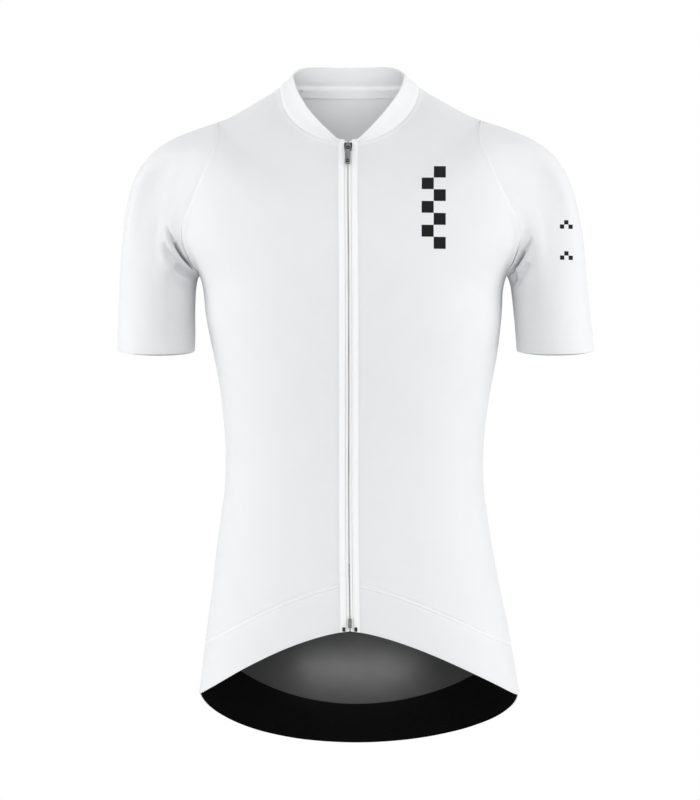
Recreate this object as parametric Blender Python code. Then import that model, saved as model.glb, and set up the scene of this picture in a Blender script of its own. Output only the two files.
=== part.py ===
"""A short-sleeved cycling jersey, filled out as if a rider wore it, with nobody inside.

Every cut piece is a sheet of points on one smooth form, closed into a wall by the same sheet moved
inwards. The form is a family of rings that runs from the neck seam, over the shoulders, to the hem.
Sizes are in millimetres and become metres where points are made. X runs to the wearer's left,
Y to the back and Z up. The origin is the middle of the neck, level with the tops of the shoulders,
which carry the jersey.
"""

import math
from collections import namedtuple

import bmesh
import bpy
import numpy as np
from mathutils import Matrix, Vector

MM = 0.001

# ---------------------------------------------------------------- driving sizes, in millimetres
CLOTH = 1.2  # thickness of the knitted cloth
COLLAR_CLOTH = 2.0  # the collar is two layers
SEAM_GAP = 0.3  # between pieces that are sewn together
ZIP_GAP = 3.5  # from the middle of the zip to the cloth's edge
FACING_EDGE = 10.0  # from the middle of the zip to the facing's outer edge
FACING_CLOTH = 0.7
COIL_TOP, COIL_HALF, COIL_PROUD, COIL_THICK = 3.0, 2.6, 0.6, 1.8
TAPE_EDGE, TAPE_HALF, TAPE_CLOTH = 0.2, 13.0, 0.8
CUFF_X, CUFF_Y, CUFF_DIP = 41.5, 52.0, 5.0  # half the cuff's width and depth, and its lower front
CUFF_CENTRE = (213.5, -1.0, -270.0)
NECK_TAPE = 8.0
NECK_TAPE_SKIP = 5  # columns of the back, at each end, that the neck tape leaves free
POCKET_TOP = 548.0  # the level, down the side, of the pockets' mouths
POCKET_STEP = 30.0  # over which the back sinks under the pockets
LINING_TOP = POCKET_TOP + 14.0

# The stance. At each height the middle sways to the wearer's left, both sides swell further that
# way, and the wearer's left shoulder is lifted, and the right one lowered, at FULL_SWELL.
Stance = namedtuple("Stance", "z sway swell lift")
STANCES = (
    Stance(-705, 0.5, 5.6, 0.0),
    Stance(-640, 3.5, 5.6, 0.0),
    Stance(-490, 2.8, 2.5, 0.0),
    Stance(-259, 2.8, 2.5, 0.0),
    Stance(-200, 2.8, 0.4, 0.0),
    Stance(-140, 2.2, 0.2, 0.3),
    Stance(-90, 1.0, 0.0, 0.8),
    Stance(-50, 0.2, 0.0, 1.0),
    Stance(-15, -0.8, 0.0, 0.4),
    Stance(10, -0.6, 0.0, 0.0),
    Stance(40, -3.6, 0.0, 0.0),
)
FULL_SWELL = 150.0

# A ring of the form, from the neck seam (level 0) down. The level is about the length in
# millimetres down the shoulder and side. In front of and behind the side point (side_x, side_y,
# side_z) the ring bends to the front and back points, and its height there follows
# (1 - share**bend)**ridge, where share is the distance from the middle over side_x.
Ring = namedtuple(
    "Ring",
    "level side_x side_y side_z front_y front_z back_y back_z square"
    " front_bend front_ridge back_bend back_ridge",
)
RINGS = (
    #    level  side_x side_y side_z front_y front_z back_y back_z square  bends and ridges
    Ring(0,     74,    8,     13,    -64,    -53,    64,    15,    2.00,  1.85, 0.47, 2.0, 0.70),
    Ring(30,    101,   11,    -4,    -80,    -73,    82,    -18,   2.05,  2.0, 0.75, 2.0, 0.85),
    Ring(78,    141,   11,    -24,   -98,    -100,   97,    -56,   2.15,  2.0, 0.95, 2.0, 0.95),
    Ring(115,   174,   8,     -40,   -110,   -122,   105,   -88,   2.25,  2.0, 1.00, 2.0, 1.00),
    Ring(150,   189,   5,     -78,   -116,   -143,   110,   -117,  2.30,  2.0, 1.00, 2.0, 1.00),
    Ring(190,   192,   3,     -118,  -120,   -167,   112,   -147,  2.30,  2.0, 1.00, 2.0, 1.00),
    Ring(228,   183,   1,     -156,  -122,   -189,   111,   -176,  2.30,  2.0, 1.00, 2.0, 1.00),
    Ring(262,   164,   0,     -190,  -122,   -210,   109,   -203,  2.30,  2.0, 1.00, 2.0, 1.00),
    Ring(300,   158,   -2,    -227,  -120,   -238,   104,   -236,  2.30,  2.0, 1.00, 2.0, 1.00),
    Ring(358,   149,   -4,    -285,  -114,   -286,   93,    -288,  2.30,  2.0, 1.00, 2.0, 1.00),
    Ring(458,   137,   -6,    -385,  -105,   -370,   82,    -386,  2.25,  2.0, 1.00, 2.0, 1.00),
    Ring(560,   148,   -1,    -488,  -105,   -449,   96,    -500,  2.20,  1.7, 1.00, 2.0, 0.90),
    Ring(655,   163,   3,     -582,  -109,   -513,   111,   -658,  2.20,  1.4, 1.00, 2.0, 0.70),
    Ring(710,   171.5, 4,     -637,  -110,   -563,   114,   -701,  2.20,  1.5, 1.00, 2.0, 0.53),
)
SHOULDER, ARMPIT, HEM_SEAM, HEM = 78.0, 262.0, 655.0, 710.0

# The collar's top edge, in the same terms as a ring.
COLLAR_TOP = Ring(0, 59, 4, 25.5, -64, -58, 51, 37, 2.0, 1.0, 0.6, 8.0, 1.0)
COLLAR_BULGE, COLLAR_TALL = -1.5, 20.0  # the bulge halfway up, where the collar is that tall

# The armhole's front and back edges, in degrees of the ring from the side: how deep they are,
# and how much deeper above and pinched at the middle.
ARMHOLE_FRONT = (34.8, 15.9, 3.1)
ARMHOLE_BACK = (33.0, 8.0, 0.0)
# Degrees round the armhole from its top to the armpit: closer together where the folds are.
ARMHOLE_STEPS = (0, 15, 30, 45, 60, 75, 90, 103, 115, 126, 136, 145, 154, 163, 171.5, 180)

# How far each thread of the sleeve keeps its direction as it leaves the armhole and as it arrives
# at the cuff, at the shoulder and at the armpit.
Thread = namedtuple("Thread", "leave arrive")
SHOULDER_THREAD = Thread(110, 190)
ARMPIT_THREAD = Thread(10, 30)
ARMPIT_DROP = 0.5  # how steeply a thread drops as it leaves the armpit
ARMPIT_CLEAR = 0.5  # how far the sleeve's edge lies outside the body's there
SLEEVE_LEAN = 0.065  # how far the sleeve's end goes outwards for each unit down
SLEEVE_STEPS = (0, 0.03, 0.07, 0.11, 0.155, 0.2, 0.25, 0.31, 0.38, 0.46, 0.56, 0.68, 0.83, 1)

# Folds at the armpit, seen from the front: from the armpit out over the sleeve.
Fold = namedtuple("Fold", "from_x from_z to_x to_z width depth")
FOLD_START = 12.0  # about how far from the armhole the folds reach their depth
FOLDS = (
    Fold(166, -186, 196, -140, 8.0, -5.0),
    Fold(172, -196, 208, -158, 9.0, 2.5),
    Fold(172, -212, 212, -180, 10.0, -4.0),
)

# Zip hardware
SLIDER_LEVEL = 8.0  # down the zip from its top to the slider's middle
SLIDER_LONG, SLIDER_TOP_HALF, SLIDER_LOW_HALF, SLIDER_PLATE = 11.0, 4.1, 3.1, 1.4
LUG_CORNER, LUG_SHOULDER, LUG_LONG = 1.2, 1.6, 4.2  # the wide upper end of the plate
TAIL_CORNER, TAIL_SHOULDER = 1.0, 1.5
SLIDER_LIFT = 1.3  # from the cloth's surface to the underside of the slider's plate
BELLY_HALF, BELLY_INSET = 2.7, 0.6  # the plate's underside, which runs on the coil
SUNK = 0.4  # how far one shape reaches into the next before they are united
BRIDGE_HALF, BRIDGE_LONG, BRIDGE_WALL, BRIDGE_CORNER, BRIDGE_INNER_CORNER = 1.0, 3.1, 0.9, 1.0, 0.5
PIVOT_CLEAR = 1.15  # from the pivot to the plate below it and the bridge above it
TAB_HALF, TAB_LONG, TAB_THICK, TAB_BAR = 2.7, 26.0, 1.2, 0.6
TAB_TOP_CORNER, TAB_END_CORNER, TAB_END_SHOULDER = 0.5, 1.2, 1.4
TAB_WINDOW_HALF, TAB_WINDOW_END = 1.4, 4.4
TAB_HOLE, TAB_HOLE_UP, TAB_HOLE_SIDES = 1.0, 3.2, 12
FOOT_UP = 14.0  # from the hem up to the top of the zip's box
BOX_HALF, BOX_LONG, BOX_THICK = 3.1, 10.0, 1.4
END_HALF, END_LONG, END_TOP = 1.3, 4.0, 2.1
END_OUT, END_DOWN = 7.0, 8.5  # a tape end's middle from the zip's, and its top below the box's

SLOPE_STEP = 0.5  # degrees or levels to either side, over which a slope is measured
WHITE, CHARCOAL, BLACK = (0.86, 0.87, 0.88), (0.07, 0.07, 0.075), (0.012, 0.012, 0.013)
GUNMETAL, ZIP_WHITE = (0.23, 0.23, 0.24), (0.8, 0.8, 0.81)


# ---------------------------------------------------------------- the form
def spline(knots, values):
    """The natural cubic spline through the values at the knots, as a function of an array."""
    knots, values = np.asarray(knots, float), np.asarray(values, float)
    gaps, count = np.diff(knots), len(knots)
    slopes = np.diff(values) / gaps
    system, right = np.eye(count), np.zeros(count)
    for i in range(1, count - 1):
        system[i, i - 1 : i + 2] = gaps[i - 1], 2 * (gaps[i - 1] + gaps[i]), gaps[i]
        right[i] = 6 * (slopes[i] - slopes[i - 1])
    bends = np.linalg.solve(system, right)

    def at(place):
        i = np.clip(np.searchsorted(knots, place) - 1, 0, count - 2)
        before, after, gap = place - knots[i], knots[i + 1] - place, gaps[i]
        curved = (bends[i] * after**3 + bends[i + 1] * before**3) / (6 * gap)
        straight_low = (values[i] / gap - bends[i] * gap / 6) * after
        straight_high = (values[i + 1] / gap - bends[i + 1] * gap / 6) * before
        return curved + straight_low + straight_high

    return at


RING_AT = {
    column: spline([ring.level for ring in RINGS], [getattr(ring, column) for ring in RINGS])
    for column in Ring._fields[1:]
}


def ring_at(level):
    """The ring at a level, with every column read from its spline."""
    return Ring(level, *(RING_AT[column](level) for column in Ring._fields[1:]))


def ring_point(ring, degrees, side):
    """The point on a ring at that many degrees from its front, on one side (1 left, -1 right)."""
    angle = np.radians(degrees)
    power = 2 / ring.square
    share = np.abs(np.sin(angle)) ** power
    reach = np.abs(np.cos(angle)) ** power
    front = np.cos(angle) >= 0
    end_y = np.where(front, ring.front_y, ring.back_y)
    end_z = np.where(front, ring.front_z, ring.back_z)
    bend = np.where(front, ring.front_bend, ring.back_bend)
    ridge = np.where(front, ring.front_ridge, ring.back_ridge)
    height = np.clip(1 - share**bend, 0, 1) ** ridge
    x = side * ring.side_x * share
    y = ring.side_y + (end_y - ring.side_y) * reach
    z = ring.side_z + (end_z - ring.side_z) * height
    return np.stack(np.broadcast_arrays(x, y, z), axis=-1)


STANCE_AT = {
    column: spline([stance.z for stance in STANCES], [getattr(stance, column) for stance in STANCES])
    for column in Stance._fields[1:]
}


def posed(points):
    """Points moved by the stance at their height."""
    x, y, z = points[..., 0], points[..., 1], points[..., 2]
    height = np.clip(z, STANCES[0].z, STANCES[-1].z)
    share = np.clip(x / FULL_SWELL, -1, 1)
    x = x + STANCE_AT["sway"](height) + STANCE_AT["swell"](height) * share**2
    return np.stack([x, y, z + STANCE_AT["lift"](height) * share], axis=-1)


def body_point(degrees, level, side):
    return posed(ring_point(ring_at(level), degrees, side))


def inset(degrees, level, sign):
    """Those degrees moved on by half a seam's gap along the ring, forwards (-1) or backwards (1)."""
    start, move = body_point(degrees, level, 1), 0.1
    for _ in range(12):
        away = np.linalg.norm(body_point(degrees + sign * move, level, 1) - start)
        move *= SEAM_GAP / 2 / away
    return degrees + sign * move


def degrees_at(distance, level):
    """The degrees from the front at which a ring is that far from the middle."""
    ring = ring_at(level)
    return np.degrees(np.arcsin((distance / ring.side_x) ** (ring.square / 2)))


# ---------------------------------------------------------------- rows and columns of the panels
Row = namedtuple("Row", "middle edge front_edge back_edge")


def armhole(round_degrees):
    """The row of the panels that meets the armhole at those degrees round it."""
    angle = math.radians(round_degrees)
    middle, half = (SHOULDER + ARMPIT) / 2, (ARMPIT - SHOULDER) / 2

    def reach(deep, above, pinch):
        return (deep + above * math.cos(angle) + pinch * math.cos(2 * angle)) * math.sin(angle)

    return Row(
        SHOULDER + (ARMPIT - SHOULDER) * round_degrees / 180,
        middle - half * math.cos(angle),
        90 - reach(*ARMHOLE_FRONT),
        90 + reach(*ARMHOLE_BACK),
    )


def plain_rows(start, end, count):
    return [Row(level, level, 90, 90) for level in np.linspace(start, end, count + 1)]


LEVEL_GAP = 0.25  # half a seam's gap, as levels
SHOULDER_ROWS = [Row(level, level, 90, 90) for level in (LEVEL_GAP, NECK_TAPE, 30, 54)]
ARMHOLE_ROWS = [armhole(step) for step in ARMHOLE_STEPS]
FRONT_ROWS = SHOULDER_ROWS + ARMHOLE_ROWS + plain_rows(ARMPIT, HEM_SEAM - LEVEL_GAP, 14)[1:]
BACK_ROWS = SHOULDER_ROWS + ARMHOLE_ROWS + plain_rows(ARMPIT, POCKET_TOP - POCKET_STEP, 9)[1:]
BACK_ROWS += plain_rows(POCKET_TOP - POCKET_STEP, LINING_TOP - LEVEL_GAP, 3)[1:]
HEM_ROWS = plain_rows(HEM_SEAM + LEVEL_GAP, HEM, 3)
LINING_ROWS = plain_rows(LINING_TOP + LEVEL_GAP, HEM_SEAM - LEVEL_GAP, 4)
POCKET_ROWS = plain_rows(POCKET_TOP, HEM_SEAM, 5) + plain_rows(HEM_SEAM, HEM, 3)[1:]
FRONT_COLUMNS, BACK_COLUMNS = 10, 10


def front_places(row, side):
    """(degrees, level, side) across one row of a front, from the zip's edge to its outer edge."""
    places = [(degrees_at(ZIP_GAP, row.middle), row.middle, side)]
    start, end = degrees_at(FACING_EDGE, row.middle), inset(row.front_edge, row.edge, -1)
    for share in np.linspace(0, 1, FRONT_COLUMNS):
        level = row.middle + (row.edge - row.middle) * share**2
        places.append((start + (end - start) * share, level, side))
    return places


def back_places(row):
    """(degrees, level, side) across one row of the back, from its right edge to its left edge."""
    start = inset(row.back_edge, row.edge, 1)
    half = []
    for share in np.linspace(0, 1, BACK_COLUMNS + 1):
        level = row.middle + (row.edge - row.middle) * (1 - share) ** 2
        half.append((start + (180 - start) * share, level))
    right = [(degrees, level, -1) for degrees, level in half]
    left = [(degrees, level, 1) for degrees, level in reversed(half[:-1])]
    return right + left


def form_points(places):
    """The form's points at a grid of places."""
    return np.array([[body_point(*place) for place in row] for row in places])


def form_normals(places):
    """The outward normals at a grid of places, from the form's own slopes."""
    step = SLOPE_STEP

    def normal(degrees, level, side):
        around = body_point(degrees + step, level, side) - body_point(degrees - step, level, side)
        level = max(level, step)
        along = body_point(degrees, level + step, side) - body_point(degrees, level - step, side)
        outward = np.cross(along, around) * side
        return outward / np.linalg.norm(outward)

    return np.array([[normal(*place) for place in row] for row in places])


# ---------------------------------------------------------------- sheets and walls
def material(name, colour, rough=0.85, metallic=0.0):
    made = bpy.data.materials.get(name) or bpy.data.materials.new(name)
    made.use_nodes = True
    surface = made.node_tree.nodes["Principled BSDF"]
    surface.inputs["Base Color"].default_value = (*colour, 1)
    surface.inputs["Roughness"].default_value = rough
    surface.inputs["Metallic"].default_value = metallic
    return made


def add_object(name, mesh, finish):
    mesh.materials.append(finish)
    made = bpy.data.objects.new(name, mesh)
    bpy.context.scene.collection.objects.link(made)
    return made


def cloth(name, points, normals, thickness, finish, tube=False):
    """A wall between a grid of points, in millimetres, and the same grid moved in by its thickness."""
    rows, columns = points.shape[:2]
    outer = np.arange(rows * columns).reshape(rows, columns)
    inner = outer + rows * columns
    if tube:
        outer, inner = (np.hstack([sheet, sheet[:, :1]]) for sheet in (outer, inner))
    faces = []

    def strip(upper, lower):
        for j in range(len(upper) - 1):
            faces.append((upper[j], lower[j], lower[j + 1], upper[j + 1]))

    for i in range(rows - 1):
        strip(outer[i], outer[i + 1])
        strip(inner[i + 1], inner[i])
    strip(inner[0], outer[0])
    strip(outer[-1], inner[-1])
    if not tube:
        strip(outer[:, -1][::-1], inner[:, -1][::-1])
        strip(inner[:, 0][::-1], outer[:, 0][::-1])
    corners = np.concatenate([points.reshape(-1, 3), (points - normals * thickness).reshape(-1, 3)])
    mesh = bpy.data.meshes.new(name)
    mesh.from_pydata((corners * MM).tolist(), [], [tuple(map(int, face)) for face in faces])
    mesh.shade_smooth()
    mesh.set_sharp_from_angle(angle=math.radians(50))
    return add_object(name, mesh, finish)


# ---------------------------------------------------------------- the cut pieces of the body
def panel(name, places, lift, thickness, finish):
    """A panel over a grid of places on the form, lifted off it and thickened inwards."""
    normals = form_normals(places)
    return cloth(name, form_points(places) + normals * lift, normals, thickness, finish)


def under_pockets(rows):
    """How far each row of the back lies under the form, which is the pockets' outer face."""
    share = [(row.middle - POCKET_TOP + POCKET_STEP) / POCKET_STEP for row in rows]
    share = np.clip(share, 0, 1)
    depth = (SEAM_GAP + CLOTH) * share**2 * (3 - 2 * share)
    return -depth[:, None, None]


def front_grid(rows, side):
    """A front's places, ordered so that its faces point outwards."""
    places = [front_places(row, side) for row in rows]
    return places if side > 0 else [row[::-1] for row in places]


def back_grid(rows):
    """The back's places, from the wearer's left to right."""
    return [back_places(row)[::-1] for row in rows]


def make_fronts(finish):
    for name, side in (("left", 1), ("right", -1)):
        panel(f"front_{name}", front_grid(FRONT_ROWS, side), 0, CLOTH, finish)
        panel(f"hem_front_{name}", front_grid(HEM_ROWS, side), 0, CLOTH, finish)


def make_back(finish, lining, band):
    for name, rows, colour in (
        ("back", BACK_ROWS, finish),
        ("back_lining", LINING_ROWS, lining),
        ("hem_back", HEM_ROWS, band),
    ):
        panel(name, back_grid(rows), under_pockets(rows), CLOTH, colour)
    panel("pockets", back_grid(POCKET_ROWS), 0, CLOTH, finish)


def make_neck_tape(finish):
    rows = [row[NECK_TAPE_SKIP:-NECK_TAPE_SKIP] for row in back_grid(SHOULDER_ROWS[:2])]
    panel("neck_tape", rows, -(CLOTH + SEAM_GAP), TAPE_CLOTH, finish)


# ---------------------------------------------------------------- sleeves
def fold_depth(points):
    """How far the folds move each unposed sleeve point along its normal."""
    x, z = np.abs(points[..., 0]), points[..., 2]
    total = np.zeros(x.shape)
    for fold in FOLDS:
        along_x, along_z = fold.to_x - fold.from_x, fold.to_z - fold.from_z
        length = math.hypot(along_x, along_z)
        run = ((x - fold.from_x) * along_x + (z - fold.from_z) * along_z) / length
        off = ((x - fold.from_x) * along_z - (z - fold.from_z) * along_x) / length
        taper = np.clip(1 - np.abs(2 * run / length - 1) ** 3, 0, 1)
        total += fold.depth * taper * np.exp(-((off / fold.width) ** 2))
    return total


def mix(a, b, share):
    return a + (b - a) * share


def ring_normal(degrees, level, side):
    """The outward normal of the unposed form."""
    step = SLOPE_STEP
    around = ring_point(ring_at(level), degrees + step, side)
    around = around - ring_point(ring_at(level), degrees - step, side)
    along = ring_point(ring_at(level + step), degrees, side)
    along = along - ring_point(ring_at(level - step), degrees, side)
    return unit_cross(along, around) * side


def armhole_point(round_degrees, sign, side):
    """The unposed point and normal on the armhole. sign is 1 in front, -1 behind."""
    row = armhole(round_degrees)
    edge = row.front_edge if sign > 0 else row.back_edge
    return Vector(ring_point(ring_at(row.edge), edge, side)), Vector(ring_normal(edge, row.edge, side))


def sleeve_thread(degrees, sign, side):
    """Points from a place on the armhole to the cuff. sign is 1 in front, -1 behind."""
    start, normal = armhole_point(degrees, sign, side)
    angle = math.radians(degrees)
    lower = (1 - math.cos(angle)) / 2
    leave = mix(SHOULDER_THREAD.leave, ARMPIT_THREAD.leave, lower)
    arrive = mix(SHOULDER_THREAD.arrive, ARMPIT_THREAD.arrive, lower)
    after = armhole_point(degrees + SLOPE_STEP, sign, side)
    before = armhole_point(degrees - SLOPE_STEP, sign, side)
    across = normal.cross(after[0] - before[0]).normalized() * side * sign
    out = across * (1 - lower) + normal * lower**3 + Vector((0, 0, -ARMPIT_DROP * lower))
    out.normalize()
    start = start + normal * ARMPIT_CLEAR * lower**2
    cuff = Vector(CUFF_CENTRE)
    end = Vector(
        (
            side * (cuff.x + CUFF_X * math.cos(angle)),
            cuff.y - sign * CUFF_Y * math.sin(angle),
            cuff.z - CUFF_DIP * math.sin(angle),
        )
    )
    down = Vector((side * SLEEVE_LEAN, 0, -1)).normalized()
    first, second = start + out * leave, end - down * arrive
    shares = [max(share, SEAM_GAP / (3 * leave)) for share in SLEEVE_STEPS]
    return [
        start * (1 - t) ** 3 + first * 3 * t * (1 - t) ** 2 + second * 3 * t * t * (1 - t) + end * t**3
        for t in shares
    ]


def sleeve_points(side):
    """The sleeve as rings of points round it, from the armhole to the cuff."""
    round_it = [(step, 1) for step in ARMHOLE_STEPS]
    round_it += [(step, -1) for step in ARMHOLE_STEPS[-2:0:-1]]
    threads = [sleeve_thread(step, sign, side) for step, sign in round_it]
    return np.array([[tuple(p) for p in thread] for thread in threads]).transpose(1, 0, 2)


def unit_cross(along, around):
    outward = np.cross(along, around)
    return outward / np.linalg.norm(outward, axis=-1, keepdims=True)


def sheet_normals(points):
    return unit_cross(np.gradient(points, axis=0), np.gradient(points, axis=1))


def tube_normals(points):
    around = np.roll(points, -1, axis=1) - np.roll(points, 1, axis=1)
    return unit_cross(np.gradient(points, axis=0), around)


def make_sleeves(finish):
    for name, side in (("left", 1), ("right", -1)):
        points = sleeve_points(side)
        points = points if side > 0 else points[:, ::-1]
        away = np.linalg.norm(points - points[0], axis=-1)
        depth = fold_depth(points) * (1 - np.exp(-((away / FOLD_START) ** 2)))
        points = points + tube_normals(points) * depth[..., None]
        points = posed(points)
        cloth(f"sleeve_{name}", points, tube_normals(points), CLOTH, finish, tube=True)


# ---------------------------------------------------------------- collar
COLLAR_STEPS = (0.012, 0.27, 0.52, 0.77, 1.0)


def collar_point(degrees, up, side):
    """A point of the collar, from the neck seam (up 0) to its top edge (up 1)."""
    low = ring_point(ring_at(0.0), degrees, side)
    high = ring_point(COLLAR_TOP, degrees, side)
    middle = np.array([0.0, ring_at(0.0).side_y, 0.0])
    away = (low - middle) * np.array([1, 1, 0])
    away = away / np.linalg.norm(away)
    point = mix(low, high, up)
    height = min(1.0, np.linalg.norm(high - low) / COLLAR_TALL)
    return posed(point + away * COLLAR_BULGE * height * math.sin(math.pi * up))


def collar_places():
    """(degrees, side) round the collar, from its left front end to its right one."""
    neck = SHOULDER_ROWS[0]
    front = [(degrees, 1) for degrees, _, _ in front_places(neck, 1)[1:]]
    back = [(degrees, side) for degrees, _, side in back_places(neck)[::-1]]
    right = [(degrees, -1) for degrees, _, _ in front_places(neck, -1)[1:]][::-1]
    return front[:-1] + back + right[1:]


def make_collar(finish):
    places = collar_places()
    points = np.array([[collar_point(d, up, side) for d, side in places] for up in COLLAR_STEPS])
    height = points[..., 2].copy()
    rounded = height[:, :-2] / 4 + height[:, 1:-1] / 2 + height[:, 2:] / 4
    share = np.array(COLLAR_STEPS)[:, None]
    points[:, 1:-1, 2] = mix(height[:, 1:-1], rounded, share)
    cloth("collar", points, sheet_normals(points), COLLAR_CLOTH, finish)


# ---------------------------------------------------------------- zip
ZIP_ROWS = FRONT_ROWS + HEM_ROWS[1:]
COIL_ROWS = [row for row in ZIP_ROWS if row.middle > COIL_TOP]


def zip_strip(name, edges, lift, thickness, finish, rows=None):
    """A strip down the zip between two distances from its middle, lifted off the cloth's surface."""
    places = []
    for row in rows or ZIP_ROWS:
        sides = [(abs(x), 1 if x > 0 else -1) for x in edges]
        places.append([(degrees_at(x, row.middle), row.middle, side) for x, side in sides])
    panel(name, places, lift, thickness, finish)


def make_zip(cloth_finish, tape_finish, coil_finish):
    proud = SEAM_GAP + FACING_CLOTH
    under = -(CLOTH + SEAM_GAP)
    for name, side in (("left", 1), ("right", -1)):
        facing = sorted((side * ZIP_GAP, side * FACING_EDGE))
        tape = sorted((side * TAPE_EDGE, side * TAPE_HALF))
        zip_strip(f"zip_facing_{name}", facing, proud, FACING_CLOTH, cloth_finish)
        zip_strip(f"zip_tape_{name}", tape, under, TAPE_CLOTH, tape_finish)
    zip_strip("zip_coil", (-COIL_HALF, COIL_HALF), COIL_PROUD, COIL_THICK, coil_finish, COIL_ROWS)


def zip_frame(level):
    """The matrix at the zip's middle: Y down the zip, Z out of the cloth and X to the right."""
    along = body_point(0.0, level + SLOPE_STEP, 1) - body_point(0.0, level - SLOPE_STEP, 1)
    down = Vector((0, along[1], along[2])).normalized()
    out = down.cross(Vector((1, 0, 0)))
    frame = Matrix((down.cross(out), down, out)).transposed().to_4x4()
    frame.translation = Vector(body_point(0.0, level, 1)) * MM
    return frame


def prism(name, outline, low, high, finish):
    """An outline in millimetres of X and Y, as a plate between two heights."""
    shape = bmesh.new()
    face = shape.faces.new([shape.verts.new((x * MM, y * MM, low * MM)) for x, y in outline])
    grown = bmesh.ops.extrude_face_region(shape, geom=[face])
    moved = [v for v in grown["geom"] if isinstance(v, bmesh.types.BMVert)]
    bmesh.ops.translate(shape, verts=moved, vec=(0, 0, (high - low) * MM))
    bmesh.ops.recalc_face_normals(shape, faces=shape.faces)
    mesh = bpy.data.meshes.new(name)
    shape.to_mesh(mesh)
    shape.free()
    return add_object(name, mesh, finish)


def both_sides(right_edge):
    """An outline that is the same on both sides, from its right edge, top to bottom."""
    return right_edge + [(-x, y) for x, y in reversed(right_edge)]


def box_outline(half, top, bottom):
    return both_sides([(half, top), (half, bottom)])


def combine(made, other, operation):
    """A Boolean with a helper object, which stays hidden."""
    other.hide_render = True
    other.display_type = "WIRE"
    cut = made.modifiers.new(operation.title(), "BOOLEAN")
    cut.operation = operation
    cut.solver = "EXACT"
    cut.object = other


def make_slider(metal):
    """The slider: a plate on a belly that rides on the coil, and a bridge that carries the tab."""
    frame = zip_frame(SLIDER_LEVEL)
    top, low, half = -SLIDER_LONG / 2, SLIDER_LONG / 2, SLIDER_TOP_HALF
    plate_top = SLIDER_LIFT + SLIDER_PLATE
    right_edge = [
        (half - LUG_CORNER, top),
        (half, top + LUG_SHOULDER),
        (half, top + LUG_LONG),
        (SLIDER_LOW_HALF, low - TAIL_SHOULDER),
        (SLIDER_LOW_HALF - TAIL_CORNER, low),
    ]
    plate = prism("zip_slider", both_sides(right_edge), SLIDER_LIFT, plate_top, metal)
    belly_outline = box_outline(BELLY_HALF, top + BELLY_INSET, low - BELLY_INSET)
    belly = prism("belly", belly_outline, COIL_PROUD + SEAM_GAP, SLIDER_LIFT + SUNK, metal)
    bridge = make_bridge(plate_top, metal)
    combine(plate, belly, "UNION")
    combine(plate, bridge, "UNION")
    for made in (plate, belly, bridge):
        made.matrix_world = frame
    bridge.matrix_world = frame @ Matrix.Rotation(math.radians(90), 4, "Y")
    return frame, plate_top + PIVOT_CLEAR


def make_bridge(plate_top, metal):
    """The bridge over the pivot, drawn in the plane down the zip and extruded across it."""
    inner_long, inner_top = BRIDGE_LONG - BRIDGE_WALL, 2 * PIVOT_CLEAR

    def arch(long, top, corner):
        half = [(long, -SUNK), (long, top - corner), (long - corner, top)]
        return [(-down, out) for down, out in half] + half[::-1]

    outer = arch(BRIDGE_LONG, inner_top + BRIDGE_WALL, BRIDGE_CORNER)
    profile = outer + arch(inner_long, inner_top, BRIDGE_INNER_CORNER)[::-1]
    outline = [(-(plate_top + out), down) for down, out in profile]
    return prism("bridge", outline, -BRIDGE_HALF, BRIDGE_HALF, metal)


def make_tab(frame, pivot_out, metal):
    """The pull tab, hung on the pivot by a bar under the bridge. Its origin is on the pivot."""
    right_edge = [
        (TAB_HALF - TAB_TOP_CORNER, -TAB_BAR),
        (TAB_HALF, TAB_TOP_CORNER - TAB_BAR),
        (TAB_HALF, TAB_LONG - TAB_END_SHOULDER),
        (TAB_HALF - TAB_END_CORNER, TAB_LONG),
    ]
    tab = prism("zip_pull_tab", both_sides(right_edge), -TAB_THICK / 2, TAB_THICK / 2, metal)
    window_outline = box_outline(TAB_WINDOW_HALF, TAB_BAR, TAB_WINDOW_END)
    window = prism("window", window_outline, -TAB_THICK, TAB_THICK, metal)
    around = np.linspace(0, 2 * math.pi, TAB_HOLE_SIDES, endpoint=False)
    hole_y = TAB_LONG - TAB_HOLE_UP
    ring = [(TAB_HOLE * math.cos(a), hole_y + TAB_HOLE * math.sin(a)) for a in around]
    hole = prism("hole", ring, -TAB_THICK, TAB_THICK, metal)
    combine(tab, window, "DIFFERENCE")
    combine(tab, hole, "DIFFERENCE")
    place = frame @ Matrix.Translation((0, 0, pivot_out * MM))
    for made in (tab, window, hole):
        made.matrix_world = place


def make_zip_foot(metal, dark):
    """The retaining box at the foot of the zip and the two tape ends beside it."""
    frame = zip_frame(HEM - FOOT_UP)
    low = COIL_PROUD + SEAM_GAP
    box = prism("zip_box", box_outline(BOX_HALF, 0, BOX_LONG), low, low + BOX_THICK, metal)
    box.matrix_world = frame
    end_outline = box_outline(END_HALF, END_DOWN, END_DOWN + END_LONG)
    for name, side in (("left", 1), ("right", -1)):
        outline = [(x + side * END_OUT, y) for x, y in end_outline]
        end = prism(f"zip_end_{name}", outline, SEAM_GAP + FACING_CLOTH + SEAM_GAP, END_TOP, dark)
        end.matrix_world = frame


def clear_scene():
    for found in list(bpy.data.objects):
        bpy.data.objects.remove(found, do_unlink=True)


def main():
    clear_scene()
    white = material("jersey_white", WHITE)
    charcoal = material("lining_charcoal", CHARCOAL)
    black = material("gripper_black", BLACK, rough=0.7)
    zip_white = material("zip_white", ZIP_WHITE, rough=0.5)
    metal = material("zip_gunmetal", GUNMETAL, rough=0.35, metallic=0.9)
    dark = material("zip_end_black", BLACK, rough=0.5)
    make_fronts(white)
    make_back(white, charcoal, black)
    make_neck_tape(white)
    make_sleeves(white)
    make_collar(white)
    make_zip(white, zip_white, zip_white)
    frame, pivot_out = make_slider(metal)
    make_tab(frame, pivot_out, metal)
    make_zip_foot(metal, dark)


main()
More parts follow.
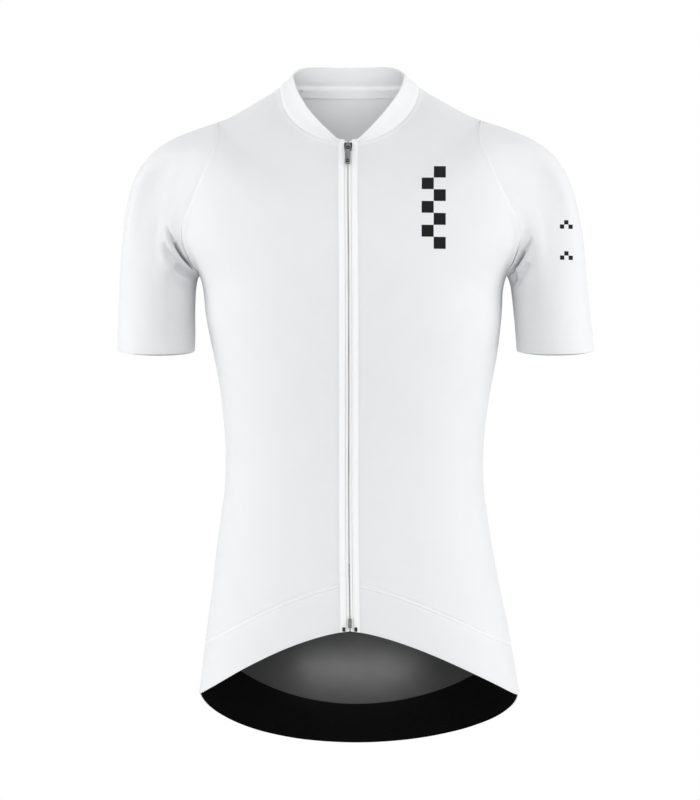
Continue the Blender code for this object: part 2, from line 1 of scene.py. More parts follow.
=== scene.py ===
# %% [markdown]
# # A short-sleeved cycling jersey
#
# The jersey is filled out as if a rider wore it, with nobody inside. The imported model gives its
# solids: every cut piece at its real size and place. This lesson dresses them: each piece is
# modelled again on the same form, finely enough to show its seams, rolled edges and folds, and
# gets its knit, tape, thread, nylon or metal. Sizes are in millimetres unless a name says metres.
# X runs to the wearer's left, Y to the back and Z up, from the middle of the neck.

# %% Load the frame
import math
from collections import namedtuple
from contextlib import contextmanager

import bmesh
import bpy
import numpy as np
from mathutils import Matrix, Vector


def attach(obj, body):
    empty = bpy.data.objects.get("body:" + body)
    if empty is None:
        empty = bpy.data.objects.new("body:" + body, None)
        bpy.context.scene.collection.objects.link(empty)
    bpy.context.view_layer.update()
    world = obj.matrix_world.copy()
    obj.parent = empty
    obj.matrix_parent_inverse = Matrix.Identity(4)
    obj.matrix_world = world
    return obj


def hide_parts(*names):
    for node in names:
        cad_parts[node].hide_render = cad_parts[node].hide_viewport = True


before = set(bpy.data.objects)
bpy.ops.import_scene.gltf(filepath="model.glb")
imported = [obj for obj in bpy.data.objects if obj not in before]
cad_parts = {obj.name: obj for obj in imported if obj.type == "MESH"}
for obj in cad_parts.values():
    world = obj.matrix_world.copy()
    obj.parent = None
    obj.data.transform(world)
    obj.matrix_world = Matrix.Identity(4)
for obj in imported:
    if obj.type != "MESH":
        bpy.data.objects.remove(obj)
bpy.ops.object.select_all(action="DESELECT")
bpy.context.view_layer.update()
MM = 0.001

# %% [markdown]
# ## The form that every piece lies on
#
# Cut cloth has no shape of its own: sewn together and filled, all the pieces of the body lie on
# one smooth form. It could be sculpted, but then a seam could not be found again by its size. So
# the form is a family of rings, from the neck seam over the shoulders and down to the hem, the
# same family that the solids were made from. A ring's level is about the length of cloth down the
# shoulder and the side. Splines through the columns of the table give every ring in between.

# %% The rings
Ring = namedtuple(
    "Ring",
    "level side_x side_y side_z front_y front_z back_y back_z square"
    " front_bend front_ridge back_bend back_ridge",
)
RINGS = (
    #    level  side_x side_y side_z front_y front_z back_y back_z square  bends and ridges
    Ring(0,     74,    8,     13,    -64,    -53,    64,    15,    2.00,  1.85, 0.47, 2.0, 0.70),
    Ring(30,    101,   11,    -4,    -80,    -73,    82,    -18,   2.05,  2.0, 0.75, 2.0, 0.85),
    Ring(78,    141,   11,    -24,   -98,    -100,   97,    -56,   2.15,  2.0, 0.95, 2.0, 0.95),
    Ring(115,   174,   8,     -40,   -110,   -122,   105,   -88,   2.25,  2.0, 1.00, 2.0, 1.00),
    Ring(150,   189,   5,     -78,   -116,   -143,   110,   -117,  2.30,  2.0, 1.00, 2.0, 1.00),
    Ring(190,   192,   3,     -118,  -120,   -167,   112,   -147,  2.30,  2.0, 1.00, 2.0, 1.00),
    Ring(228,   183,   1,     -156,  -122,   -189,   111,   -176,  2.30,  2.0, 1.00, 2.0, 1.00),
    Ring(262,   164,   0,     -190,  -122,   -210,   109,   -203,  2.30,  2.0, 1.00, 2.0, 1.00),
    Ring(300,   158,   -2,    -227,  -120,   -238,   104,   -236,  2.30,  2.0, 1.00, 2.0, 1.00),
    Ring(358,   149,   -4,    -285,  -114,   -286,   93,    -288,  2.30,  2.0, 1.00, 2.0, 1.00),
    Ring(458,   137,   -6,    -385,  -105,   -370,   82,    -386,  2.25,  2.0, 1.00, 2.0, 1.00),
    Ring(560,   148,   -1,    -488,  -105,   -449,   96,    -500,  2.20,  1.7, 1.00, 2.0, 0.90),
    Ring(655,   163,   3,     -582,  -109,   -513,   111,   -658,  2.20,  1.4, 1.00, 2.0, 0.70),
    Ring(710,   171.5, 4,     -637,  -110,   -563,   114,   -701,  2.20,  1.5, 1.00, 2.0, 0.53),
)
SHOULDER, ARMPIT, POCKET_TOP, HEM_SEAM, HEM = 78.0, 262.0, 548.0, 655.0, 710.0
LINING_TOP = POCKET_TOP + 14.0  # just below the mouths of the pockets
CHEST = 228.0
SIDES = (("left", 1), ("right", -1))  # the wearer's


def spline(knots, values):
    """The natural cubic spline through the values at the knots, as a function of an array."""
    knots, values = np.asarray(knots, float), np.asarray(values, float)
    gaps, count = np.diff(knots), len(knots)
    slopes = np.diff(values) / gaps
    system, right = np.eye(count), np.zeros(count)
    for i in range(1, count - 1):
        system[i, i - 1 : i + 2] = gaps[i - 1], 2 * (gaps[i - 1] + gaps[i]), gaps[i]
        right[i] = 6 * (slopes[i] - slopes[i - 1])
    bends = np.linalg.solve(system, right)

    def at(place):
        i = np.clip(np.searchsorted(knots, place) - 1, 0, count - 2)
        before, after, gap = place - knots[i], knots[i + 1] - place, gaps[i]
        curved = (bends[i] * after**3 + bends[i + 1] * before**3) / (6 * gap)
        straight_low = (values[i] / gap - bends[i] * gap / 6) * after
        straight_high = (values[i + 1] / gap - bends[i + 1] * gap / 6) * before
        return curved + straight_low + straight_high

    return at


def splines(rows, key):
    """A spline for every column of a table, against its key column."""
    knots = [getattr(row, key) for row in rows]
    columns = [column for column in rows[0]._fields if column != key]
    return {column: spline(knots, [getattr(row, column) for row in rows]) for column in columns}


RING_AT = splines(RINGS, "level")


def ring_at(level):
    return Ring(level, *(RING_AT[column](level) for column in Ring._fields[1:]))


def ring_point(ring, degrees, side):
    """Points on rings at degrees from the front, on one side (1 is the wearer's left)."""
    angle = np.radians(degrees)
    power = 2 / ring.square
    share = np.abs(np.sin(angle)) ** power
    reach = np.abs(np.cos(angle)) ** power
    front = np.cos(angle) >= 0
    end_y = np.where(front, ring.front_y, ring.back_y)
    end_z = np.where(front, ring.front_z, ring.back_z)
    bend = np.where(front, ring.front_bend, ring.back_bend)
    ridge = np.where(front, ring.front_ridge, ring.back_ridge)
    height = np.clip(1 - share**bend, 0, 1) ** ridge
    x = side * ring.side_x * share
    y = ring.side_y + (end_y - ring.side_y) * reach
    z = ring.side_z + (end_z - ring.side_z) * height
    return np.stack(np.broadcast_arrays(x, y, z), axis=-1)


half_turn = np.linspace(0, 180, 721)
chest = ring_point(ring_at(np.full(half_turn.shape, CHEST)), half_turn, 1)
girth = 2 * np.linalg.norm(np.diff(chest, axis=0), axis=1).sum()
print(len(RINGS), "rings; round the chest:", round(girth), "mm")

# %% [markdown]
# ## The stance
#
# A figure never stands quite straight. At each height the middle of the jersey sways a little to
# one side, and one shoulder is a touch higher. The stance is a second small table, and it moves
# points after they are made, so the pieces themselves stay symmetric and simple.

# %% The stance
Stance = namedtuple("Stance", "z sway swell lift")
STANCES = (
    Stance(-705, 0.5, 5.6, 0.0),
    Stance(-640, 3.5, 5.6, 0.0),
    Stance(-490, 2.8, 2.5, 0.0),
    Stance(-259, 2.8, 2.5, 0.0),
    Stance(-200, 2.8, 0.4, 0.0),
    Stance(-140, 2.2, 0.2, 0.3),
    Stance(-90, 1.0, 0.0, 0.8),
    Stance(-50, 0.2, 0.0, 1.0),
    Stance(-15, -0.8, 0.0, 0.4),
    Stance(10, -0.6, 0.0, 0.0),
    Stance(40, -3.6, 0.0, 0.0),
)
FULL_SWELL = 150.0  # from the middle, where the swell is whole
STANCE_AT = splines(STANCES, "z")


def posed(points):
    """Points moved by the stance at their height."""
    x, y, z = points[..., 0], points[..., 1], points[..., 2]
    height = np.clip(z, STANCES[0].z, STANCES[-1].z)
    share = np.clip(x / FULL_SWELL, -1, 1)
    x = x + STANCE_AT["sway"](height) + STANCE_AT["swell"](height) * share**2
    return np.stack([x, y, z + STANCE_AT["lift"](height) * share], axis=-1)


def still_point(degrees, level, side):
    return ring_point(ring_at(level), degrees, side)


def body_point(degrees, level, side):
    return posed(still_point(degrees, level, side))


def unit(vectors):
    return vectors / np.linalg.norm(vectors, axis=-1, keepdims=True)


def unit_cross(along, around):
    return unit(np.cross(along, around))


def slopes_at(point_at, degrees, level, side):
    """The outward normals of a form, from its slopes half a degree and half a millimetre on."""
    step = 0.5
    around = point_at(degrees + step, level, side) - point_at(degrees - step, level, side)
    level = np.maximum(level, step)
    along = point_at(degrees, level + step, side) - point_at(degrees, level - step, side)
    return unit_cross(along, around) * np.asarray(side, float)[..., None]


def body_normal(degrees, level, side):
    return slopes_at(body_point, degrees, level, side)


print("the hem sways", STANCES[1].sway, "mm to the wearer's left")

# %% [markdown]
# ## A grid in the cloth
#
# A real panel is cut flat, and its seams are stitched at a measured distance from its edges. So
# each panel here is a grid whose columns lie at measured lengths along every row: close together
# within a centimetre of a seam, where the cloth rolls and puckers, and a few millimetres apart
# elsewhere. An even grid fine enough for the seams would have ten times the faces.

# %% Measured grids
SEAM_STEPS = np.array((0, 0.45, 0.9, 1.4, 2.0, 2.7, 3.6, 4.7, 6.0, 7.5, 9.2))
DENSE = 400  # samples along a line before it is measured


def stops(length, parts, start=SEAM_STEPS):
    """Distances along a length: fine near both ends, and so many even parts between them."""
    length = np.asarray(length, float)[..., None]
    even = start[-1] + (length - start[-1] - SEAM_STEPS[-1]) * np.linspace(0, 1, parts + 1)[1:-1]
    first, last = (np.broadcast_to(ends, length.shape[:-1] + ends.shape) for ends in (start, SEAM_STEPS))
    return np.concatenate([first, even, length - last[..., ::-1]], axis=-1)


def read_line(at, run, line):
    """The points of a line, or their normals, at some lengths of its run."""
    return np.stack([np.interp(at, run, line[:, axis]) for axis in range(3)], axis=-1)


def run_along(points, axis):
    """The length along an axis of a grid, from its first point."""
    steps = np.linalg.norm(np.diff(points, axis=axis), axis=-1)
    start = np.zeros_like(np.take(steps, [0], axis=axis))
    return np.concatenate([start, np.cumsum(steps, axis=axis)], axis=axis)


def measured_rows(place, parts):
    """place(t) gives degrees, level and side along all rows; the result is place at even stops."""
    t = np.linspace(0, 1, DENSE)
    run = run_along(body_point(*place(t[None, :])), 1)
    wanted = stops(run[:, -1], parts)
    return place(np.array([np.interp(want, length, t) for want, length in zip(wanted, run)]))


print("columns near a seam, in mm:", SEAM_STEPS.tolist())

# %% [markdown]
# ## Armhole, side and middle
#
# A set-in sleeve meets the body in one closed curve. The front and the back stop there, each with
# its own depth, and below and above it they meet each other at the side and on the shoulder. The
# curve is a formula in degrees round the armhole, from its top (0) to the armpit (180).

# %% Where the panels end
ARMHOLE_FRONT = (34.8, 15.9, 3.1)  # how deep, how much deeper above, and pinched at the middle
ARMHOLE_BACK = (33.0, 8.0, 0.0)
ZIP_GAP = 3.5  # from the middle of the zip to the cloth's edge
FACING_EDGE = 10.0  # and to the facing's outer edge
TOUCH = 0.03  # half of what is left open between two pieces that are sewn together
ARMHOLE_MIDDLE, ARMHOLE_HALF = (SHOULDER + ARMPIT) / 2, (ARMPIT - SHOULDER) / 2
Edges = namedtuple("Edges", "level front back")


def armhole_edges(degrees):
    angle = np.radians(degrees)

    def reach(deep, above, pinch):
        return (deep + above * np.cos(angle) + pinch * np.cos(2 * angle)) * np.sin(angle)

    level = ARMHOLE_MIDDLE - ARMHOLE_HALF * np.cos(angle)
    return Edges(level, 90 - reach(*ARMHOLE_FRONT), 90 + reach(*ARMHOLE_BACK))


def edges_at(middle):
    """Where the rows that start at a level in the middle end: at the armhole or the side."""
    share = np.clip((middle - SHOULDER) / (ARMPIT - SHOULDER), 0, 1)
    found = armhole_edges(180 * share)
    outside = middle - (SHOULDER + (ARMPIT - SHOULDER) * share)
    return Edges(found.level + outside, found.front, found.back)


def inset(degrees, level, sign):
    """Degrees moved on by a hair along the ring, forwards (-1) or backwards (1)."""
    start, move = body_point(degrees, level, 1), np.full(np.shape(degrees), 0.1)
    for _ in range(12):  # a first guess of a tenth of a degree, made better each time
        gap = np.linalg.norm(body_point(degrees + sign * move, level, 1) - start, axis=-1)
        move = move * TOUCH / gap
    return degrees + sign * move


def degrees_at(distance, level):
    """The degrees from the front at which a ring is that far from the middle."""
    ring = ring_at(level)
    return np.degrees(np.arcsin((distance / ring.side_x) ** (ring.square / 2)))


def front_rows(levels, side):
    """place(t) along the rows of a front, from the zip's edge to its outer edge."""
    middle = levels[:, None]
    ends = edges_at(middle)
    start = degrees_at(ZIP_GAP, middle)
    turn = inset(ends.front, ends.level, -1) - start

    def place(t):
        return start + turn * t, middle + (ends.level - middle) * t**2, side + 0 * t * middle

    return place


def back_rows(levels):
    """place(t) along the rows of the back, from the wearer's left edge to the right one."""
    middle = levels[:, None]
    ends = edges_at(middle)
    start = inset(ends.back, ends.level, 1)

    def place(t):
        out = np.abs(2 * t - 1)
        side = np.where(t < 0.5, 1.0, -1.0) + 0 * middle
        return 180 - (180 - start) * out, middle + (ends.level - middle) * out**2, side

    return place


print("the armhole is", round(ARMPIT - SHOULDER), "mm deep, in lengths of cloth")

# %% [markdown]
# ## A sheet of cloth
#
# A cut piece starts as Blender's grid primitive, which comes with a tidy UV map. Its points are
# moved on to the form, and the map is set to the real lengths in the cloth, so a knit drawn in
# millimetres keeps its size everywhere. A Solidify modifier gives the wall and a small Bevel
# rounds the cut edges. Modelling both faces by hand would give the same and take twice the work.

# %% Sheets
CLOTH = 0.9  # a knit's thickness; the wall is doubled where a hem is turned
EDGE_ANGLE, SMOOTH_ANGLE = math.radians(60), math.radians(50)
Sheet = namedtuple("Sheet", "points normals across down")


def sheet_of(points, normals):
    return Sheet(points, normals, run_along(points, 1), run_along(points, 0))


def grid_normals(points):
    return unit_cross(np.gradient(points, axis=0), np.gradient(points, axis=1))


def activate(piece):
    bpy.ops.object.select_all(action="DESELECT")
    piece.select_set(True)
    bpy.context.view_layer.objects.active = piece


def apply_modifier(piece, kind, **settings):
    activate(piece)
    modifier = piece.modifiers.new(kind.title(), kind)
    for key, value in settings.items():
        setattr(modifier, key, value)
    bpy.ops.object.modifier_apply(modifier=modifier.name)


def grid_piece(name, sheet, finish, flip=False, doubled=None, inner=None):
    """The grid primitive, laid on a sheet's points. flip turns its columns round.

    doubled (0 to 1 at every point) says where the cloth has a second layer under it, and on the
    fronts' edge over the hem band's seam also a painted highlight; inner is another finish for the wall's
    inner face.
    """
    rows, columns = sheet.across.shape
    bpy.ops.mesh.primitive_grid_add(x_subdivisions=columns - 1, y_subdivisions=rows - 1, size=1)
    piece = bpy.context.object
    piece.name = name
    order = slice(None, None, -1) if flip else slice(None)
    mesh = piece.data
    mesh.vertices.foreach_set("co", (sheet.points[::-1, order] * MM).astype(np.float32).ravel())
    corners = np.empty(len(mesh.loops), np.int32)
    mesh.loops.foreach_get("vertex_index", corners)
    places = np.stack([sheet.across, -sheet.down], axis=-1)[::-1, order].reshape(-1, 2)
    mesh.uv_layers[0].name = "cut"
    mesh.uv_layers[0].uv.foreach_set("vector", places[corners].astype(np.float32).ravel())
    if doubled is not None:
        layer = mesh.attributes.new("doubled", "FLOAT", "POINT")
        layer.data.foreach_set("value", doubled[::-1, order].astype(np.float32).ravel())
    for made in (finish, inner or finish):
        mesh.materials.append(made)
    mesh.update()
    return piece


def wall(piece, thickness, rounding=0.14):
    """Gives a grid piece its thickness inwards, by its layers where it has a group of that name."""
    layered = "layers" in piece.vertex_groups
    apply_modifier(
        piece, "SOLIDIFY", thickness=thickness * MM * (2 if layered else 1), offset=-1,
        vertex_group="layers" if layered else "", material_offset=1,
    )
    apply_modifier(
        piece, "BEVEL", width=rounding * MM, segments=2, limit_method="ANGLE", angle_limit=EDGE_ANGLE
    )
    activate(piece)
    bpy.ops.object.shade_smooth_by_angle(angle=SMOOTH_ANGLE)


def flat_size(sheet):
    """Width, length and area in metres of the sheet's cloth."""
    edges = np.diff(sheet.points, axis=0)[:, :-1], np.diff(sheet.points, axis=1)[:-1]
    area = np.linalg.norm(np.cross(*edges), axis=-1).sum() * MM * MM
    width, length = sheet.across.max() * MM, sheet.down.max() * MM
    return (round(width, 4), round(length, 4)), round(min(area, width * length), 5)


def sewn(piece, sheet, slot, *nodes, rests_on="collar"):
    """Says what a cloth piece is: its cut and what it stands for. What it is sewn to (rests_on) is not used.
    """
    flat, area = flat_size(sheet)
    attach(piece, "jersey")
    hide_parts(*nodes)
    cut = " x ".join(f"{size / MM:.0f}" for size in flat)
    print(f"{piece.name}: cut {cut} mm, {area:.4f} m2, {len(piece.data.polygons)} faces")


print("cloth", CLOTH, "mm thick")

# %% [markdown]
# ## What sewing does to cloth
#
# A seam is never flat. The two edges roll into a narrow groove, the allowance pressed under one
# side lifts it by a fraction of a millimetre for a few millimetres, and the thread draws the cloth
# into small puckers. All three are soft formulas in the distance from the seam, added to the
# grid's points along their normals. A normal map could hint at them, but the edge of the shape
# and its shadows would stay flat.

# %% Seams and ease
GROOVE, GROOVE_WIDE = 0.55, 0.9
ALLOWANCE, ALLOWANCE_LIFT = 5.5, 0.3
LIFT_START, LIFT_WHOLE, LIFT_FADES = 0.8, 2.2, 1.6  # the last one beyond the allowance's edge
PUCKER, PUCKER_REACH = 0.11, 7.0
# each seam has a number of its own, so that no two pucker alike
SIDE_SEAM, COLLAR_SEAM, NECK_SEAM, UNDERARM, BAND_SEAM = 2.0, 3.0, 4.0, 5.0, 6.0
NEEDLE_DRAW, NEEDLE_WIDE = 0.14, 0.7
ARMHOLE_GROOVE = ((40, SHOULDER, -1.0), (110, 190, 0.1), (ARMPIT, 290, 0.9))  # from, to, share added
FILL, FILL_REACH = 5.2, 15.0  # how far the armhole's seam stands out, and how far that reaches
FILL_START, FILL_WHOLE, FILL_FADES = 168, 212, 245  # and at which levels
JOIN = 0.26  # how far an edge is drawn over the piece beside it


def wobble(along, seed):
    """An even mix of waves between 7 and 31 mm long, from -1 to 1."""
    waves = [np.sin(2 * np.pi * along / long + seed * turn) for long, turn in
             ((7.3, 1.3), (11.9, 2.1), (19.7, 3.7), (31.1, 5.3))]
    return sum(waves) / len(waves)


def step_up(value, start, end):
    share = np.clip((value - start) / (end - start), 0, 1)
    return share * share * (3 - 2 * share)


def seam(distance, along, seed, allowance=0.0, deep=1.0):
    """The rise of the cloth near a seam, in millimetres. deep is the groove's share of GROOVE."""
    groove = -GROOVE * deep * np.exp(-((distance / GROOVE_WIDE) ** 2))
    pucker = PUCKER * wobble(along, seed) * np.exp(-((distance / PUCKER_REACH) ** 2))
    if not allowance:
        return groove + pucker
    edge = 1 - step_up(distance, allowance, allowance + LIFT_FADES)
    return groove + pucker + ALLOWANCE_LIFT * step_up(distance, LIFT_START, LIFT_WHOLE) * edge


def armhole_deep(level):
    """The groove's share at a level of the armhole: nothing on the shoulder, little to the armpit."""
    return 1 + sum(share * step_up(level, start, end) for start, end, share in ARMHOLE_GROOVE)


def armhole_rise(level, side, sign):
    """How far, and which way, the armhole's seam stands out at a level, in front (-1) or behind (1)."""
    share = np.clip((ARMHOLE_MIDDLE - level) / ARMHOLE_HALF, -1, 1)
    edges = armhole_edges(np.degrees(np.arccos(share)))
    out = slopes_at(still_point, np.where(sign < 0, edges.front, edges.back), edges.level, side)
    way = unit(out + np.stack(np.broadcast_arrays(0.0, sign, 0.0 * level), axis=-1))
    far = step_up(level, FILL_START, FILL_WHOLE) * (1 - step_up(level, FILL_FADES, ARMPIT))
    return way * (FILL * far)[..., None]


def filled(distance):
    """How much of that rise is left so far from the seam."""
    return np.clip(1 - distance / FILL_REACH, 0, 1)[..., None] ** 2


def drawn_on(points, edge, beside):
    """Draws an edge row a little over the piece it is sewn to, which closes the seam."""
    points[edge] = points[edge] + unit(points[edge] - points[beside]) * JOIN


def needle(distance, at):
    """The slight draw of a line of stitches that far from an edge."""
    return -NEEDLE_DRAW * np.exp(-(((distance - at) / NEEDLE_WIDE) ** 2))


def ease(points):
    """Broad unevenness of hung cloth, the same on both sides of every seam."""
    x, y, z = points[..., 0], points[..., 1], points[..., 2]
    return (
        0.34 * np.sin(z / 19 + 0.9 * np.sin(x / 31)) * np.sin(x / 27 + y / 41 + 1.1)
        + 0.26 * np.sin(z / 11.5 + x / 23) * np.sin(y / 17 - z / 37 + 0.4)
    )


# %% [markdown]
# ## Soft creases
#
# The body of this jersey hangs clean, with faint pulls below the armpits. The small of the back,
# above the pockets, is where such a jersey always takes a few shallow folds. Each crease is a row
# of a table: where it starts and ends as seen from the front or the back, how wide and deep it is,
# and how far it bows out between its ends. A negative depth is a trough.

# %% Creases of the body
Crease = namedtuple("Crease", "face from_x from_z to_x to_z width depth bow", defaults=(0.0,))
FACING_RUN = 30.0  # a crease is whole from so far in front (face -1) or behind (face 1)
CREASES = (
    #      face  from       to          width depth
    Crease(-1, 158, -214, 112, -196, 7, -0.9),
    Crease(-1, -156, -212, -116, -192, 7, -0.8),
    Crease(-1, 152, -236, 96, -224, 9, 0.6),
    Crease(-1, -152, -238, -92, -228, 9, 0.5),
    Crease(1, 150, -214, 88, -190, 9, -1.6),
    Crease(1, -152, -210, -96, -182, 8, -1.4),
    Crease(1, 140, -240, 60, -232, 11, 1.1),
    Crease(1, -138, -238, -52, -226, 12, 1.0),
    Crease(1, 118, -372, -46, -384, 12, -1.7),
    Crease(1, 92, -398, -112, -391, 14, 1.5),
    Crease(1, 64, -420, -96, -428, 12, -1.3),
    Crease(1, 106, -352, 8, -346, 13, 1.1),
)


def crease_rise(creases, points):
    """How far creases lift the points: a soft ridge or trough that fades at both ends."""
    x, y, z = points[..., 0], points[..., 1], points[..., 2]
    total = np.zeros(x.shape)
    for crease in creases:
        along_x, along_z = crease.to_x - crease.from_x, crease.to_z - crease.from_z
        length = math.hypot(along_x, along_z)
        run = ((x - crease.from_x) * along_x + (z - crease.from_z) * along_z) / length
        off = ((x - crease.from_x) * along_z - (z - crease.from_z) * along_x) / length
        taper = np.clip(1 - np.abs(2 * run / length - 1) ** 3, 0, 1)
        off = off - crease.bow * np.clip(1 - (2 * run / length - 1) ** 2, 0, 1)
        facing = step_up(y * crease.face, 0, FACING_RUN)
        total += crease.depth * taper * facing * np.exp(-((off / crease.width) ** 2))
    return total


MIDDLE_EDGE = 20.0  # degrees: an edge nearer than this to the middle isn't at an armhole


def body_sheet(places, rise):
    """A panel on the body. rise(across, down, left across, left down) gives its seams."""
    points, normals = body_point(*places), body_normal(*places)
    across, down = run_along(points, 1), run_along(points, 0)
    lift = rise(across, down, across[:, -1:] - across, down[-1:] - down)
    lift = lift + ease(points) + crease_rise(CREASES, points)
    moved = points + normals * lift[..., None]
    degrees, level, side = places
    for column in (0, -1):
        off_middle = np.minimum(degrees[:, column], 180 - degrees[:, column])
        if off_middle.max() < MIDDLE_EDGE:
            continue
        sign = np.where(degrees[:, column] < 90, -1.0, 1.0)
        out = armhole_rise(level[:, column], side[:, column], sign)[:, None]
        moved = moved + out * filled(np.abs(across - across[:, [column]]))
    return sheet_of(moved, normals)


print(len(CREASES), "soft creases on the body")

# %% [markdown]
# ## Writing finishes as arithmetic
#
# A procedural finish is a sum: so much wave across, so much down, less where a seam is. Wiring
# Math nodes by hand hides that. Two small classes keep it readable: `Link` wraps a socket, and an
# ordinary expression on links adds the Math nodes; `Finish` owns a material, and its one method
# `node` adds any other node from its type, its settings and its inputs.

# %% Links and finishes
class Link:
    """A node's output that can stand in an expression."""

    def __init__(self, finish, socket):
        self.finish, self.socket = finish, socket

    def math(self, operation, *values):
        return self.finish.node("ShaderNodeMath", {"operation": operation}, dict(enumerate(values)))

    def __add__(self, other):
        return self.math("ADD", self, other)

    def __sub__(self, other):
        return self.math("SUBTRACT", self, other)

    def __rsub__(self, other):
        return self.math("SUBTRACT", other, self)

    def __mul__(self, other):
        return self.math("MULTIPLY", self, other)

    def __truediv__(self, other):
        return self.math("DIVIDE", self, other)

    def __pow__(self, power):
        return self.math("POWER", self, power)

    def __gt__(self, limit):
        return self.math("GREATER_THAN", self, limit)

    def __lt__(self, limit):
        return self.math("LESS_THAN", self, limit)

    def __abs__(self):
        return self.math("ABSOLUTE", self)

    def sin(self):
        return self.math("SINE", self)

    def part(self):
        """What is left over whole numbers."""
        return self.math("FRACT", self)

    def whole(self):
        return self.math("FLOOR", self)

    def within(self, low, high):
        """1 between two limits, else 0."""
        return (self > low) * (self < high)

    __radd__, __rmul__ = __add__, __mul__


class Finish:
    """A material, and the means to add nodes to it."""

    def __init__(self, name, **constants):
        self.material = bpy.data.materials.new(name)
        self.material.use_nodes = True
        self.tree = self.material.node_tree
        self.surface = self.tree.nodes["Principled BSDF"]
        for key, value in constants.items():
            self.surface.inputs[key.replace("_", " ")].default_value = value

    def node(self, kind, settings, inputs, output=0):
        """Adds a node: its type, its settings, its inputs by name or number, and which output."""
        made = self.tree.nodes.new(kind)
        for key, value in settings.items():
            setattr(made, key, value)
        for key, value in inputs.items():
            self.feed(made.inputs[key], value)
        return Link(self, made.outputs[output])

    def feed(self, socket, value):
        if isinstance(value, Link):
            self.tree.links.new(value.socket, socket)
        else:
            socket.default_value = value

    def apart(self, place):
        """The three numbers of a place."""
        first = self.node("ShaderNodeSeparateXYZ", {}, {0: place})
        return [Link(self, socket) for socket in first.socket.node.outputs]

    def cut(self):
        """The place in the cloth, and its two lengths in millimetres."""
        place = self.node("ShaderNodeUVMap", {"uv_map": "cut"}, {})
        return place, *self.apart(place)[:2]

    def marked(self, name):
        """A value that the piece carries at its points, 0 where it carries none."""
        return self.node("ShaderNodeAttribute", {"attribute_name": name}, {}, 2)

    def place(self):
        """The place in the jersey's frame, in metres: Texture Coordinate's Object output."""
        return self.node("ShaderNodeTexCoord", {}, {}, 3)

    def noise(self, place, scale, detail=2.0, rough=0.5):
        inputs = {"Vector": place, "Scale": scale, "Detail": detail, "Roughness": rough}
        return self.node("ShaderNodeTexNoise", {}, inputs)

    def mix(self, factor, first, second):
        """A Mix node of colours, whose sockets are the ones after those for numbers and vectors."""
        inputs = {0: factor, 6: first, 7: second}
        return self.node("ShaderNodeMix", {"data_type": "RGBA"}, inputs, 2)

    def done(self, colour, rough, height, depth):
        """Joins colour, roughness and relief (height 0 to 1, depth in millimetres) to the surface."""
        relief = {"Height": height, "Distance": depth * MM, "Strength": 1.0}
        normal = self.node("ShaderNodeBump", {}, relief)
        for key, value in (("Base Color", colour), ("Roughness", rough), ("Normal", normal)):
            self.feed(self.surface.inputs[key], value)
        return self.material


def grey(value, warm=0.0):
    """A near-neutral colour; warm above 0 leans it to cream, below 0 to blue."""
    return (value * (1 + warm), value, value * (1 - warm), 1.0)


print("links can be added, multiplied, compared and bent")

# %% [markdown]
# ## White performance knit
#
# The cloth is a fine polyester interlock. Its face is columns of small V-shaped loops, the wales,
# about 0.8 mm apart, in rows, the courses, about 0.65 mm high. Under the loops' relief lies a
# faint broad unevenness of the yarn, and a little fuzz. The V is a wave down the cloth whose phase
# leans with the distance from the middle of its wale. An image of cloth would be quicker and
# would blur close up.

# %% Knits
WALE, COURSE = 0.8, 0.65
BLACK_INK = grey(0.0035)


def loops(across, down, wale):
    """The height of knitted loops, 0 to 1."""
    in_wale = abs((across / wale).part() - 0.5) * 2
    stem = 1 - in_wale**2
    lean = (down / COURSE + in_wale * 0.5) * (2 * math.pi)
    return stem * (lean.sin() * 0.3 + 0.7)


def knit(name, white, shade, double=None, print_mask=None, rough=0.86, depth=0.09, wale=WALE):
    """A knit between the colour of its loops and a painted shade in the gaps between them.

    double is its colour where it lies on a second layer, and shows no gaps; it also gives the painted
    highlight on the fronts' edge over the hem band's seam.
    """
    finish = Finish(name, Sheen_Weight=0.12, Sheen_Roughness=0.45, Specular_IOR_Level=0.3)
    place, across, down = finish.cut()
    height = loops(across, down, wale)
    broad = finish.noise(place, 0.035, 3.0)
    fuzz = finish.noise(place, 1.9, 2.0, 0.6)
    # the gaps between the loops are painted darker: painted shade; broad is the yarn's own uneven tone
    colour = finish.mix(height * 0.55 + broad * 0.5, shade, white)
    if double:
        colour = finish.mix(finish.marked("doubled"), colour, double)
    if print_mask:
        aside, back, up = finish.apart(finish.place())
        colour = finish.mix(print_mask(aside / MM, up / MM) * (back < 0), colour, BLACK_INK)
    return finish.done(colour, fuzz * 0.16 + (rough - 0.08), height + fuzz * 0.25, depth)


WHITE, PAINTED_GAP_SHADE, DOUBLED = grey(0.82, -0.012), grey(0.765, -0.014), grey(0.925, -0.008)
WHITE_KNIT = knit("white_knit", WHITE, PAINTED_GAP_SHADE, DOUBLED)
print("knit of", round(10 / WALE, 1), "wales to the centimetre")

# %% [markdown]
# ## A printed mark
#
# The wearer's left chest carries a small black print. A heat-set print has no thickness to speak
# of, so it is part of the cloth's colour. It is set on when the jersey is laid out, so it stands
# upright on the chest, and it is placed by how far it is to the left and how far up. This one is a
# plain chequered column, two checks wide, which stands for nothing. Two smaller patches of the same
# kind are on the wearer's left sleeve, on its front alone. The inside stays white. A picture laid on
# the cloth's map would bend with the cut; a mask worked out from the place does not.

# %% The prints
Checks = namedtuple("Checks", "size left tops columns rows")
CHEST_CHECKS = Checks(12.5, 78.0, (-79.0,), 2, 7)
SLEEVE_CHECKS = Checks(4.6, 223.0, (-133.0, -166.0), 3, 2)


